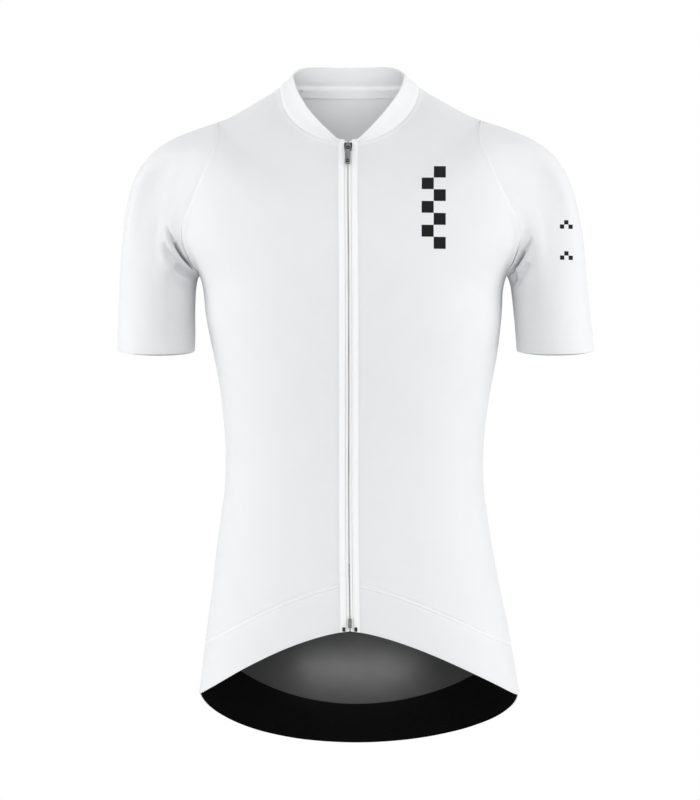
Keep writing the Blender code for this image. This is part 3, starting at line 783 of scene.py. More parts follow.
def printed_knit(name, checks):
    """White knit with a patch of checks below each of the tops, as seen from the front."""

    def patch(aside, up, top):
        column, row = (aside - checks.left) / checks.size, (top - up) / checks.size
        inside = column.within(0, checks.columns) * row.within(0, checks.rows)
        return inside * (((column.whole() + row.whole()) / 2).part() > 0.25)

    def mask(aside, up):
        return sum(patch(aside, up, top) for top in checks.tops)

    return knit(name, WHITE, PAINTED_GAP_SHADE, DOUBLED, mask)


PRINTED_KNIT = printed_knit("white_knit_printed", CHEST_CHECKS)
SLEEVE_PRINTED_KNIT = printed_knit("white_knit_sleeve", SLEEVE_CHECKS)
wide, high = (count * CHEST_CHECKS.size for count in (CHEST_CHECKS.columns, CHEST_CHECKS.rows))
print("chest print", wide, "x", high, "mm")

# %% [markdown]
# ## The fronts
#
# Two mirrored panels from the neck seam to the hem band's seam, cut from the zip out to the
# armhole and the side. Their zip edges lie under the facings. The allowances of the neck, armhole
# and hem-band seams are pressed towards the body, so each of those seams shows as a groove with a
# faint raised line beside it. One front could be made and mirrored by a modifier, but the stance
# sets the two sides a few millimetres apart, so a loop makes each in its own place.

# %% Make the fronts
FRONT_LEVELS, FRONT_PARTS = stops(HEM_SEAM, 130), 40
TWIN = 4.3  # from a seam to the line of stitches beside it
NECK_DEEP = 0.4  # the neck seam's groove, which the collar's two layers fill
SHOWS, ARMHOLE_SHOWS, HEM_LAYER_AND_HIGHLIGHT = 0.35, 0.18, 0.9  # what an allowance gives to the cloth over it; at the hem band's seam also a painted highlight
HEM_HIGHLIGHT_WIDE = 1.6  # the edge of the fronts' cloth over the band's seam, brightened by a second layer and a painted highlight


def front_rise(across, down, left_across, left_down):
    deep = armhole_deep(down)
    total = seam(left_across, down, SIDE_SEAM, ALLOWANCE, deep) + needle(left_across, TWIN) * deep
    total = total + seam(down, across, NECK_SEAM, ALLOWANCE, NECK_DEEP) + needle(down, TWIN)
    return total + seam(left_down, across, BAND_SEAM, ALLOWANCE) + needle(left_down, TWIN)


def on_allowance(distance, wide=ALLOWANCE, shows=SHOWS):
    """How much brighter the cloth is on the allowance of a seam that far away."""
    return shows * (1 - step_up(distance, wide - 1, wide + 1))


fronts = {}
for name, side in SIDES:
    places = measured_rows(front_rows(FRONT_LEVELS, side), FRONT_PARTS)
    sheet = fronts[side] = body_sheet(places, front_rise)
    brighter = np.maximum.reduce([
        on_allowance(sheet.down),
        on_allowance(sheet.across[:, -1:] - sheet.across, shows=ARMHOLE_SHOWS),
        # the fronts' lower edge: a second layer and a painted highlight on its ridge
        on_allowance(sheet.down[-1:] - sheet.down, HEM_HIGHLIGHT_WIDE, HEM_LAYER_AND_HIGHLIGHT),
    ])
    finish = PRINTED_KNIT if side > 0 else WHITE_KNIT
    piece = grid_piece(f"front_panel_{name}", sheet, finish, side < 0, brighter, WHITE_KNIT)
    wall(piece, CLOTH)
    sewn(piece, sheet, "jersey_cloth", f"front_{name}")

# %% [markdown]
# ## The front hem bands
#
# Under a double-stitched seam that rises towards the zip lies a separate band about 55 mm deep.
# It is cut from the same knit, and its lower edge is a plain clean edge that rolls very slightly
# inwards. The seam could be pressed into one long front, but a real one is two edges that meet. The
# band continues the fronts' rows, so both edges match exactly.

# %% Make the hem bands
BAND_LEVELS = HEM_SEAM + stops(HEM - HEM_SEAM, 10)
EDGE_ROLL, EDGE_ROLL_WIDE = 0.35, 1.6
BAND_STITCH, BAND_DRAW = 3.7, 5.0  # the line below the seam, and how much harder it draws
BAND_DEEP, BAND_SHOWS = 0.85, 0.2


def rolled(distance):
    """A free edge that turns inwards a little."""
    return -EDGE_ROLL * np.exp(-((distance / EDGE_ROLL_WIDE) ** 2))


def band_rise(across, down, left_across, left_down):
    total = seam(left_across, down, SIDE_SEAM, ALLOWANCE) + needle(left_across, TWIN)
    total = total + seam(down, across, BAND_SEAM, deep=BAND_DEEP) + BAND_DRAW * needle(down, BAND_STITCH)
    return total + rolled(left_down)


bands = {}
for name, side in SIDES:
    places = measured_rows(front_rows(BAND_LEVELS, side), FRONT_PARTS)
    sheet = bands[side] = body_sheet(places, band_rise)
    brighter = on_allowance(sheet.down, BAND_STITCH, BAND_SHOWS)
    piece = grid_piece(f"front_band_{name}", sheet, WHITE_KNIT, side < 0, brighter)
    wall(piece, CLOTH)
    sewn(piece, sheet, "jersey_cloth", f"hem_front_{name}", rests_on=f"front_panel_{name}")

# %% [markdown]
# ## The back
#
# One white panel reaches from the neck seam down past the mouths of the pockets, where it sinks
# by 1.5 mm so that the pocket panel can lie over it. Its side edges are the other half of the
# armholes and side seams. Two halves would be simpler to lay out, but would leave a seam down the
# spine, so its rows run from one armhole to the other.

# %% Make the back
BACK_LEVELS, BACK_PARTS = stops(LINING_TOP, 112), 92
POCKET_STEP, UNDER = 30.0, 1.5


def layer_sheet(levels, rise):
    """A back panel that sinks where the pockets cover it."""
    sunk = -UNDER * step_up(levels, POCKET_TOP - POCKET_STEP, POCKET_TOP)[:, None]
    places = measured_rows(back_rows(levels), BACK_PARTS)
    return body_sheet(places, lambda *distances: sunk + rise(*distances))


def sides(across, down, left_across):
    deep = armhole_deep(down)
    return seam(across, down, SIDE_SEAM, deep=deep) + seam(left_across, down, SIDE_SEAM, deep=deep)


def back_rise(across, down, left_across, left_down):
    neck = seam(down, across, NECK_SEAM, ALLOWANCE, NECK_DEEP) + needle(down, TWIN)
    return sides(across, down, left_across) + neck


back = layer_sheet(BACK_LEVELS, back_rise)
piece = grid_piece("back_panel", back, WHITE_KNIT, doubled=on_allowance(back.down))
wall(piece, CLOTH)
sewn(piece, back, "jersey_cloth", "back")

# %% [markdown]
# ## Charcoal lining piece and gripper band
#
# Inside the dropped back hem shows a dark grey knit, and below it a black elastic band that keeps
# the hem down on the hips. The grey one is an open warp knit. The band is ribbed elastic: firm
# rubber cores in rows along the hem with a dense black yarn round them, so its finish is a row of
# rounded ribs 1.6 mm apart crossed by fine yarn. They stand out by less than a third of a
# millimetre, which is too fine to be worth modelling.

# %% Dark knit and elastic
# its second colour is the painted shade in the gaps between its loops
CHARCOAL_KNIT = knit("charcoal_knit", grey(0.06), grey(0.03), rough=0.9, depth=0.12, wale=1.1)
RIB, RIB_YARN, RIB_HIGH = 1.6, 0.55, 0.28


def ribbed_elastic(name, light, dark):
    finish = Finish(name, Specular_IOR_Level=0.04)
    place, across, down = finish.cut()
    rounded = abs((down * (math.pi / RIB)).sin()) ** 0.6
    yarns = (across * (2 * math.pi / RIB_YARN)).sin() * 0.5 + 0.5
    dusty = finish.noise(place, 0.4, 3.0)
    height = rounded * 0.85 + yarns * 0.15
    # the valleys between the ribs are painted darker than their tops: painted shade; dusty adds random tone
    colour = finish.mix(height * 0.6 + dusty * 0.4, dark, light)
    return finish.done(colour, dusty * 0.2 + 0.62, height, RIB_HIGH)


BLACK_ELASTIC = ribbed_elastic("black_elastic", grey(0.0034), grey(0.0014))
print("elastic has", round((HEM - HEM_SEAM) / RIB), "ribs")

# %% Make the lining piece and the band
LINING_LEVELS = LINING_TOP + stops(HEM_SEAM - LINING_TOP, 16)
BUCKLE, BUCKLE_LONG = 0.12, 5.2  # the band's slight waves down its depth
THIN = 0.6  # of the knit's thickness


def lining_rise(across, down, left_across, left_down):
    return sides(across, down, left_across)


def gripper_rise(across, down, left_across, left_down):
    waves = BUCKLE * np.sin(2 * np.pi * down / BUCKLE_LONG)
    return sides(across, down, left_across) + waves + rolled(left_down)


for name, levels, rise, finish, slot, node in (
    ("lining_piece", LINING_LEVELS, lining_rise, CHARCOAL_KNIT, "lining_cloth", "back_lining"),
    ("gripper_band", BAND_LEVELS, gripper_rise, BLACK_ELASTIC, "gripper_band", "hem_back"),
):
    sheet = layer_sheet(levels, rise)
    piece = grid_piece(name, sheet, finish)
    wall(piece, CLOTH * THIN)
    sewn(piece, sheet, slot, node, rests_on="back_panel")

# %% [markdown]
# ## The pockets
#
# One panel over the lower back, stitched into three. Every mouth is a turned and elasticated hem,
# and stands open by a few millimetres between its ends. The bulge is a parabola across each pocket:
# the gape of the mouth, which dies away down the panel, and the slack below it. The divisions are
# grooves with twin lines of thread. A cloth simulation could fill the pockets, but empty ones
# hardly stand off the back, and a formula keeps their divisions straight.

# %% Make the pockets
POCKET_LEVELS = POCKET_TOP + stops(HEM - POCKET_TOP, 34)
MOUTH_HEM, MOUTH_LIFT, MOUTH_GAPE, GAPE_REACH = 14.0, 0.25, 3.4, 30.0
DIVISION = 57.0  # from the middle of the back to each stitched division
DIVISION_DEEP, DIVISION_WIDE = 0.7, 1.4
SLACK = 1.5  # how far an empty pocket stands off the back
SLACK_TOP, SLACK_FOOT = (8, 40), (20, 60)  # from the mouth and from the hem, over which that grows


def pocket_rise(across, down, left_across, left_down):
    middle = (across - left_across) / 2
    reach = (across + left_across) / 2
    half = (reach - DIVISION) / 2
    inner = np.clip(1 - (middle / DIVISION) ** 2, 0, 1)
    outer = np.clip(1 - ((np.abs(middle) - DIVISION - half) / half) ** 2, 0, 1)
    bulge = inner + outer
    gape = MOUTH_GAPE * bulge * np.exp(-((down / GAPE_REACH) ** 2))
    uneven = SLACK + 0.5 * np.sin(down / 13 + middle / 21)
    slack = bulge * uneven * step_up(down, *SLACK_TOP) * step_up(left_down, *SLACK_FOOT)
    division = -DIVISION_DEEP * np.exp(-(((np.abs(middle) - DIVISION) / DIVISION_WIDE) ** 2))
    hem = MOUTH_LIFT * (1 - step_up(down, MOUTH_HEM - 1, MOUTH_HEM + 1)) + needle(down, MOUTH_HEM)
    total = sides(across, down, left_across) + gape + division + hem + slack
    return total + rolled(left_down) + needle(left_down, HEM - HEM_SEAM)


pockets = body_sheet(measured_rows(back_rows(POCKET_LEVELS), BACK_PARTS), pocket_rise)
brighter = on_allowance(pockets.down, MOUTH_HEM)
piece = grid_piece("pocket_panel", pockets, WHITE_KNIT, doubled=brighter)
wall(piece, CLOTH)
sewn(piece, pockets, "jersey_cloth", "pockets", rests_on="back_panel")

# %% [markdown]
# ## The sleeves
#
# A sleeve is cut flat too, and its two long edges meet at the underarm seam. Its grid's columns
# are threads from the armhole to the cuff: smooth curves that leave the armhole in the cloth's own
# direction and arrive straight down the arm. The cuff is an 18 mm turned hem, so the wall is
# doubled there. A tube primitive would need its seam found again; a grid brings it along.

# %% The sleeve's threads
CUFF_CENTRE, CUFF_X, CUFF_Y, CUFF_DIP = np.array((213.5, -1.0, -270.0)), 41.5, 52.0, 5.0
Thread = namedtuple("Thread", "leave arrive")
SHOULDER_THREAD, ARMPIT_THREAD = Thread(110, 190), Thread(10, 30)
ARMPIT_DROP, ARMPIT_CLEAR, SLEEVE_LEAN = 0.5, 0.5, 0.065


def armhole_point(turn, side):
    """The point and normal of the armhole, for turns above 0 in front and below 0 behind."""
    edges = armhole_edges(np.abs(turn))
    edge = np.where(turn >= 0, edges.front, edges.back)
    sides_of = np.full(turn.shape, float(side))
    normal = slopes_at(still_point, edge, edges.level, sides_of)
    return still_point(edge, edges.level, side), normal


def beyond(turn, step, side):
    """The armhole's point that many degrees further from its top."""
    edges = armhole_edges(np.abs(turn) + step)
    return still_point(np.where(turn >= 0, edges.front, edges.back), edges.level, side)


def threads(turn, side):
    """A smooth thread for every turn round the sleeve, as columns of points."""
    start, normal = armhole_point(turn, side)
    sign = np.where(turn >= 0, 1.0, -1.0)[:, None]
    angle = np.radians(np.abs(turn))[:, None]
    lower = (1 - np.cos(angle)) / 2
    leave = SHOULDER_THREAD.leave + (ARMPIT_THREAD.leave - SHOULDER_THREAD.leave) * lower
    arrive = SHOULDER_THREAD.arrive + (ARMPIT_THREAD.arrive - SHOULDER_THREAD.arrive) * lower
    across = unit(np.cross(normal, beyond(turn, 0.5, side) - beyond(turn, -0.5, side))) * side * sign
    out = unit(across * (1 - lower) + normal * lower**3 - np.array((0, 0, ARMPIT_DROP)) * lower)
    start = start + normal * ARMPIT_CLEAR * lower**2
    end = np.hstack([
        side * (CUFF_CENTRE[0] + CUFF_X * np.cos(angle)),
        CUFF_CENTRE[1] - sign * CUFF_Y * np.sin(angle),
        CUFF_CENTRE[2] - CUFF_DIP * np.sin(angle),
    ])
    down = unit(np.array((side * SLEEVE_LEAN, 0.0, -1.0)))
    t = np.linspace(0, 1, DENSE)[:, None, None]
    first, second = start + out * leave, end - down * arrive
    return start * (1 - t) ** 3 + first * 3 * t * (1 - t) ** 2 + second * 3 * t * t * (1 - t) + end * t**3


def measured_columns(lines, parts, start):
    """Dense columns of points, read again at measured stops."""
    run = run_along(lines, 0)
    wanted = stops(run[-1], parts, start).T
    columns = [read_line(wanted[:, j], run[:, j], lines[:, j]) for j in range(lines.shape[1])]
    return np.stack(columns, axis=1)


print("sleeve thread over the shoulder:", round(run_along(threads(np.zeros(1), 1), 0)[-1, 0]), "mm")

# %% [markdown]
# ## Folds at the armpit
#
# Where the raised cap of the sleeve turns down into the armpit it has too much cloth, and takes
# a few folds that start at the seam and run up and out. They are the deepest folds of the whole
# jersey, sharp at the armpit and gone before the middle of the sleeve, and the two arms' folds
# differ. A simulation would choose its own folds, so these are rows of a table, too. The grid is
# closer there, or a crease 4 mm wide would fall between its columns.

# %% Make the sleeves
FOLD_START = 1.6  # from the seam, over which a fold comes up
FOLDS = {
    1: (
        #      face  from       to          width depth bow
        Crease(-1, 191, -151, 163, -193, 2.0, -5.0, -1.8),
        Crease(-1, 181, -166, 159, -198, 1.4, -9.0, -1.2),
        Crease(-1, 191, -163, 178, -189, 2.4, 1.5),
        Crease(-1, 187, -178, 171, -203, 3.8, -4.5),
        Crease(-1, 193, -184, 183, -203, 4.0, 0.9),
        Crease(-1, 172, -186, 163, -214, 2.8, -8.0),
        Crease(1, 166, -188, 196, -140, 4.0, -6.0),
        Crease(1, 172, -200, 208, -158, 6.0, 2.2),
        Crease(1, 172, -214, 212, -182, 8.0, -4.0),
    ),
    -1: (
        Crease(-1, 194.5, -139, 163, -186, 2.0, -5.5, -3.8),
        Crease(-1, 185, -156, 160, -188, 1.4, -9.5, -3.2),
        Crease(-1, 197, -145, 178.5, -180, 2.4, 1.8, -2.0),
        Crease(-1, 199, -157, 173.5, -192, 5.0, -4.5),
        Crease(-1, 201.5, -169, 187.5, -189, 3.5, 1.4),
        Crease(-1, 186, -181, 160, -196, 3.6, -5.5),
        Crease(-1, 195, -190, 168, -204, 6.0, -2.6),
        Crease(1, 164, -186, 192, -144, 4.0, -5.5),
        Crease(1, 172, -198, 204, -160, 6.0, 2.4),
        Crease(1, 174, -216, 210, -186, 8.0, -3.6),
    ),
}
CUFF_HEM, CUFF_TWIN = 18.0, 3.0
SLEEVE_DEEP, UNDERARM_DEEP = 0.4, 0.5  # the shares of a groove on the sleeve's side of a seam
SLEEVE_COLUMNS, SLEEVE_PARTS = 320, 40
FOLD_STEPS = np.concatenate([SEAM_STEPS, np.arange(10.4, 42, 1.3)])
FOLDED, MOST_FOLDED, FOLD_DENSE = 95.0, 120.0, 3.6  # columns are closer between these degrees


def sleeve_turns():
    """Degrees round the sleeve from the armpit over front and shoulder, closer at the folds."""
    turn = np.linspace(180, -180, 4001)
    run = np.cumsum(1 + FOLD_DENSE * step_up(np.abs(turn), FOLDED, MOST_FOLDED))
    return np.interp(np.linspace(run[0], run[-1], SLEEVE_COLUMNS + 1), run, turn)


def side_by_side(points):
    """The normals of a tube whose first and last columns are the same line."""
    around = np.gradient(points, axis=1)
    around[:, 0] = around[:, -1] = points[:, 1] - points[:, -2]
    return unit_cross(np.gradient(points, axis=0), around)


def sleeve_sheet(side):
    points = measured_columns(threads(sleeve_turns(), side), SLEEVE_PARTS, FOLD_STEPS)
    # columns run from front to back over the shoulder, and the normals of a mirrored grid turn in
    outward = side_by_side(points) * side
    away = np.linalg.norm(points - points[0], axis=-1)
    as_left = points * np.array((side, 1, 1))
    folds = crease_rise(FOLDS[side], as_left) * (1 - np.exp(-((away / FOLD_START) ** 2)))
    points = posed(points + outward * folds[..., None])
    drawn_on(points, 0, 1)
    outward = side_by_side(points) * side
    across, down = run_along(points, 1), run_along(points, 0)
    left_down, left_across = down[-1:] - down, across[:, -1:] - across
    under = np.minimum(across, left_across)
    level = armhole_edges(np.abs(sleeve_turns())).level
    lift = seam(down, under, SIDE_SEAM, deep=SLEEVE_DEEP * armhole_deep(level))
    lift = lift + seam(under, down, UNDERARM, deep=UNDERARM_DEEP) + rolled(left_down) + ease(points)
    lift = lift + needle(left_down, CUFF_HEM) + needle(left_down, CUFF_HEM - CUFF_TWIN)
    ahead = np.where(sleeve_turns() < 0, 1.0, -1.0)
    out = armhole_rise(level, np.full(level.shape, float(side)), ahead) * filled(down)
    return sheet_of(points + outward * lift[..., None] + out, outward)


def layers(piece, doubled):
    """Marks where a piece is two layers of cloth (1) and where it is one (0)."""
    made = piece.vertex_groups.new(name="layers")
    for index, weight in enumerate(doubled[::-1].ravel()):
        made.add([index], float(0.5 + weight / 2), "REPLACE")


@contextmanager
def editing(piece):
    """Edit mode on one piece, for the operators that follow."""
    activate(piece)
    bpy.ops.object.mode_set(mode="EDIT")
    yield
    bpy.ops.object.mode_set(mode="OBJECT")


def sew_tube(piece):
    """Merges the two long edges of a tube."""
    with editing(piece):
        bpy.ops.mesh.select_all(action="SELECT")
        bpy.ops.mesh.remove_doubles(threshold=0.02 * MM)


sleeves = {}
for name, side in SIDES:
    sheet = sleeves[side] = sleeve_sheet(side)
    finish = SLEEVE_PRINTED_KNIT if side > 0 else WHITE_KNIT
    piece = grid_piece(f"set_in_sleeve_{name}", sheet, finish, side < 0, inner=WHITE_KNIT)
    left_down = sheet.down[-1:] - sheet.down
    hem = 1 - step_up(left_down, CUFF_HEM - 0.5, CUFF_HEM + 0.5)
    layers(piece, hem if side > 0 else hem[:, ::-1])
    sew_tube(piece)
    wall(piece, CLOTH)
    sewn(piece, sheet, "jersey_cloth", f"sleeve_{name}", rests_on=f"front_panel_{name}")

# %% [markdown]
# ## The collar
#
# A low stand collar of two layers, turned at the top and topstitched. It is tallest at the back
# and falls to almost nothing at the zip. It stands between two curves: the neck seam, which is the
# form's first ring, and the top edge, which is a ring of its own. Its outer layer meets the body
# at the seam and stands its full thickness proud a few millimetres above. A section swept along a
# curve would do for a collar of one height; rows between two curves let the height change.

# %% Make the collar
COLLAR_TOP = Ring(0, 59, 4, 25.5, -64, -58, 51, 37, 2.0, 1.0, 0.6, 8.0, 1.0)
COLLAR_BULGE, COLLAR_TALL, COLLAR_CLOTH = -1.5, 20.0, 2.0
COLLAR_PROUD, COLLAR_WHOLE = 0.4, 5.0  # how proud at the seam, and how far above that it is whole
COLLAR_PARTS, COLLAR_ROWS = 150, 26
TOP_SOFT = 7.0  # over which the top edge's line is rounded off
TOPSTITCH = 2.4
COLLAR_BRIGHT = 0.4  # how much of the doubled cloth's colour its two loose layers have


def round_neck(t):
    """Degrees and side round the neck, from the zip's left edge over the back to its right one."""
    start = degrees_at(FACING_EDGE, 0.0)
    turn = (start - 180) * (1 - 2 * t)
    return 180 - np.abs(turn), np.where(turn < 0, 1.0, -1.0)


def softened(values, spacing):
    """A line of values smoothed, with both end values kept."""
    reach = int(3 * TOP_SOFT / spacing)
    bell = np.exp(-((np.arange(-reach, reach + 1) * spacing / TOP_SOFT) ** 2) / 2)
    padded = np.pad(values, reach, mode="reflect", reflect_type="odd")
    return np.convolve(padded, bell / bell.sum(), "valid")


def collar_points():
    t = np.linspace(0, 1, DENSE)
    degrees, side = round_neck(t)
    low, high = still_point(degrees, 0.0, side), ring_point(COLLAR_TOP, degrees, side)
    run = run_along(low, 0)
    flat_out = (low - np.array((0, RINGS[0].side_y, 0))) * np.array((1, 1, 0))
    tall = np.minimum(1, np.linalg.norm(high - low, axis=-1) / COLLAR_TALL)
    high[:, 2] = softened(high[:, 2], run[-1] / DENSE)
    up = (1 + np.cos(np.pi * np.linspace(0, 1, COLLAR_ROWS)))[:, None, None] / 2
    bulge = unit(flat_out) * (COLLAR_BULGE * tall)[:, None] * np.sin(np.pi * up)
    lines = low + (high - low) * up + bulge
    wanted = stops(run[-1], COLLAR_PARTS)
    return posed(np.array([read_line(wanted, run, line) for line in lines]))


def collar_sheet():
    points = collar_points()
    drawn_on(points, -1, -2)
    normals = grid_normals(points)
    across, down = run_along(points, 1), run_along(points, 0)
    left_down = down[-1:] - down
    proud = COLLAR_PROUD + (COLLAR_CLOTH - COLLAR_PROUD) * step_up(left_down, 0, COLLAR_WHOLE)
    lift = proud + seam(left_down, across, COLLAR_SEAM, deep=NECK_DEEP)
    lift = lift + needle(down, TOPSTITCH) + ease(points)
    return sheet_of(points + normals * lift[..., None], normals)


collar = collar_sheet()
brighter = np.full(collar.down.shape, COLLAR_BRIGHT)
piece = grid_piece("stand_collar", collar, WHITE_KNIT, doubled=brighter)
wall(piece, COLLAR_CLOTH, rounding=0.8)
sewn(piece, collar, "jersey_cloth", "collar", rests_on="back_panel")

# %% [markdown]
# ## Neck tape
#
# Inside, the back of the neck seam is covered by a narrow herringbone tape, because that seam
# would chafe. A band could be modelled by itself and fitted; read from the back's own rows, it lies
# on the seam all along. Herringbone is a twill whose slope turns every couple of millimetres.

# %% Make the neck tape
NECK_TAPE, TAPE_PARTS, TAPE_THICK = 8.0, 60, 0.6
TAPE_START, TAPE_CLEAR = 0.25, 0.35  # below the seam, and inside the cloth


def herringbone(name, light, dark, rib=0.9, turn=2.6, depth=0.12):
    finish = Finish(name, Sheen_Weight=0.1, Specular_IOR_Level=0.35)
    place, across, down = finish.cut()
    zigzag = abs((down / turn).part() - 0.5) * turn
    height = ((across + zigzag) * (2 * math.pi / rib)).sin() * 0.5 + 0.5
    soft = finish.noise(place, 0.2)
    # the twill's furrows are painted darker than its ridges: painted shade; soft adds random tone
    return finish.done(finish.mix(height * 0.6 + soft * 0.4, dark, light), soft * 0.1 + 0.7, height, depth)


TAPE_WEAVE = herringbone("white_herringbone", grey(0.92, -0.012), grey(0.82, -0.012))
tape_rows = back_rows(np.linspace(TAPE_START, NECK_TAPE, 9))
middle_half = measured_rows(lambda t: tape_rows(0.25 + t / 2), TAPE_PARTS)
neck_tape = body_sheet(middle_half, lambda *distances: -CLOTH - TAPE_CLEAR)
piece = grid_piece("neck_binding", neck_tape, TAPE_WEAVE)
wall(piece, TAPE_THICK, rounding=0.2)
sewn(piece, neck_tape, "neck_tape", "neck_tape", rests_on="back_panel")

# %% [markdown]
# ## Down the zip
#
# Every strip of the zip is a sheet whose columns lie at set distances from its middle, and whose
# cross-section is a short list of (distance, height) pairs. The stitched facings cover the cloth's
# cut edge. Inside them the two woven tapes roll down at the middle, and between them lie the teeth.
# The section could be swept down a curve, but it would have to be turned to the cloth all the way.

# %% Strips along the zip
FACING_TOP, TAPE_TOP = -4.6, -2.6  # how far above the neck seam they reach
ZIP_LEVELS = np.concatenate([
    np.linspace(3, 12, 6), np.linspace(16, HEM - 10, 170), HEM - np.array((6, 3, 1, 0))
])
TAPE_SECTION = (
    (0.7, -0.3), (1.0, 0.15), (2.0, 0.4), (3.1, 0.36), (3.37, -0.1), (3.6, -1.1), (5, -1.25), (13, -1.25),
)
FACING_SECTION = (
    (ZIP_GAP, 0.25), (3.8, 0.75), (4.5, 0.95), (4.9, 0.8), (5.3, 0.98), (6.8, 1.02), (8.7, 0.95),
    (9.1, 0.78), (9.5, 0.86), (9.8, 0.7), (FACING_EDGE, 0.35),
)


def zip_places(distances, levels):
    """Places at signed distances from the zip's middle, at each level."""
    level = np.asarray(levels, float)[:, None] + 0 * distances
    return degrees_at(np.abs(distances), level), level, np.where(distances > 0, 1.0, -1.0) + 0 * level


def strip_sheet(section, side, top, puckered=0.0):
    distances, heights = np.array(section).T
    order = slice(None, None, side)
    levels = np.concatenate([np.linspace(top, 2, 7), ZIP_LEVELS])
    places = zip_places((distances * side)[order], levels)
    points, normals = body_point(*places), body_normal(*places)
    wave = puckered * wobble(run_along(points, 0), 2 * side + 3)
    lift = heights[order] + wave + ease(points) + crease_rise(CREASES, points)
    return sheet_of(points + normals * lift[..., None], normals)


ZIP_WEAVE = herringbone("white_zip_tape", grey(0.98), grey(0.95), rib=0.7, turn=1.4)
facings = {}
for name, side in SIDES:
    facings[side] = strip_sheet(FACING_SECTION, side, FACING_TOP, puckered=0.07)
    tape = strip_sheet(TAPE_SECTION, side, TAPE_TOP)
    for label, sheet, finish, slot, node in (
        ("facing_strip", facings[side], WHITE_KNIT, "jersey_cloth", "zip_facing"),
        ("woven_tape", tape, ZIP_WEAVE, "zip_tape", "zip_tape"),
    ):
        piece = grid_piece(f"{label}_{name}", sheet, finish, doubled=np.ones(sheet.down.shape))
        wall(piece, TAPE_THICK, rounding=0.15)
        sewn(piece, sheet, slot, f"{node}_{name}", rests_on=f"front_panel_{name}")

# %% [markdown]
# ## Copies along a line
#
# Teeth and stitches are small things by the thousand. One is modelled with a primitive; its points
# are then repeated along a line, each copy turned to the line's direction and the cloth's normal.
# An Array modifier along a curve would do it too, but would not know the cloth's normal.

# %% Copies
scene = bpy.context.scene


def shape_of(piece):
    """A small piece's points in millimetres and its faces, after which the piece is removed."""
    points = np.array([vertex.co for vertex in piece.data.vertices]) / MM
    faces = [tuple(face.vertices) for face in piece.data.polygons]
    bpy.data.objects.remove(piece)
    return points, faces


def evenly(points, normals, pitch):
    """Places, directions and normals every so far along a line."""
    run, step = run_along(points, 0), 0.4
    count = max(2, round(run[-1] / pitch))
    wanted = (np.arange(count) + 0.5) * run[-1] / count
    middle, out = read_line(wanted, run, points), read_line(wanted, run, normals)
    along = unit(read_line(wanted + step, run, points) - read_line(wanted - step, run, points))
    out = unit(out - along * (out * along).sum(axis=-1, keepdims=True))
    return middle, along, out


def copies(name, shape, places, finish, replaces=None):
    """One mesh of copies of a shape: its X along the line, Z out of the cloth."""
    base, base_faces = shape
    middle, along, out = (np.concatenate(parts) for parts in zip(*places))
    ways = along, np.cross(out, along), out
    turned = sum(base[None, :, axis, None] * way[:, None] for axis, way in enumerate(ways))
    points = (middle[:, None] + turned).reshape(-1, 3) * MM
    starts = len(base) * np.arange(len(middle))
    faces = [tuple(int(start) + i for i in face) for start in starts for face in base_faces]
    mesh = bpy.data.meshes.new(name)
    mesh.from_pydata(points.tolist(), [], faces)
    mesh.shade_smooth()
    piece = bpy.data.objects.new(name, mesh)
    scene.collection.objects.link(piece)
    mesh.materials.append(finish)
    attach(piece, "jersey")
    if replaces:
        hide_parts(replaces)
    print(f"{name}: {len(middle)} copies, {len(faces)} faces")


# %% [markdown]
# ## Zip teeth
#
# A nylon coil zip has no separate teeth: a pale monofilament is wound and pressed, and each turn
# hooks into the other side. In the narrow gap between the tapes only the crowns of the turns show,
# left and right alternately, as a fine grey ladder. Each crown is a stretched sphere: a wound coil
# would have far more faces, and the tapes would hide nearly all of it.

# %% Make the teeth
TOOTH_PITCH, TOOTH_REACH, TOOTH_LIFT = 1.25, 0.9, -0.55
WIRE_HALF, TOOTH_HALF, WIRE_FLAT = 0.46, 1.4, 0.34  # half a crown: down the zip, across and out
COIL_TOP, COIL_FOOT = 3.0, HEM - 0.8

bpy.ops.mesh.primitive_uv_sphere_add(segments=8, ring_count=5, radius=1)
tooth = bpy.context.object
with editing(tooth):
    bpy.ops.transform.resize(value=(WIRE_HALF * MM, TOOTH_HALF * MM, WIRE_FLAT * MM))
tooth_shape = shape_of(tooth)

levels = np.linspace(COIL_TOP, COIL_FOOT, DENSE)
rows = []
for side in (1, -1):
    places = zip_places(np.array([side * TOOTH_REACH]), levels)
    line, out = body_point(*places)[:, 0], body_normal(*places)[:, 0]
    half = TOOTH_PITCH / 2 if side > 0 else 0.0
    line = line + out * TOOTH_LIFT
    run = run_along(line, 0)
    keep = run >= half
    rows.append(evenly(line[keep], out[keep], TOOTH_PITCH))

nylon = Finish("grey_nylon", Coat_Weight=0.15)
clouds = nylon.noise(nylon.place(), 900.0, 2.0)
GREY_NYLON = nylon.done(nylon.mix(clouds, grey(0.6), grey(0.7)), clouds * 0.15 + 0.3, clouds, 0.02)
copies("coil_teeth", tooth_shape, rows, GREY_NYLON, "zip_coil")

# %% [markdown]
# ## Modelling hard pieces
#
# The slider, its tab and the box at the zip's foot are small, and the cloth under them slopes. They
# could be modelled in their places, with every size on a slant. Instead each is shaped from a
# primitive at the origin: Y runs down the zip and Z out of the cloth. When it is finished it is put
# in its place by one matrix, and the place is applied to the mesh.

# %% Helpers for hard pieces
SLOPE_STEP = 0.5
CORNER_ANGLE = math.radians(40)


def zip_frame(level):
    """The matrix at the zip's middle: Y down the zip, Z out of the cloth and X to the right."""
    along = body_point(0.0, level + SLOPE_STEP, 1) - body_point(0.0, level - SLOPE_STEP, 1)
    down = Vector((0, along[1], along[2])).normalized()
    out = down.cross(Vector((1, 0, 0)))
    place = Matrix((down.cross(out), down, out)).transposed().to_4x4()
    place.translation = Vector(body_point(0.0, level, 1)) * MM
    return place


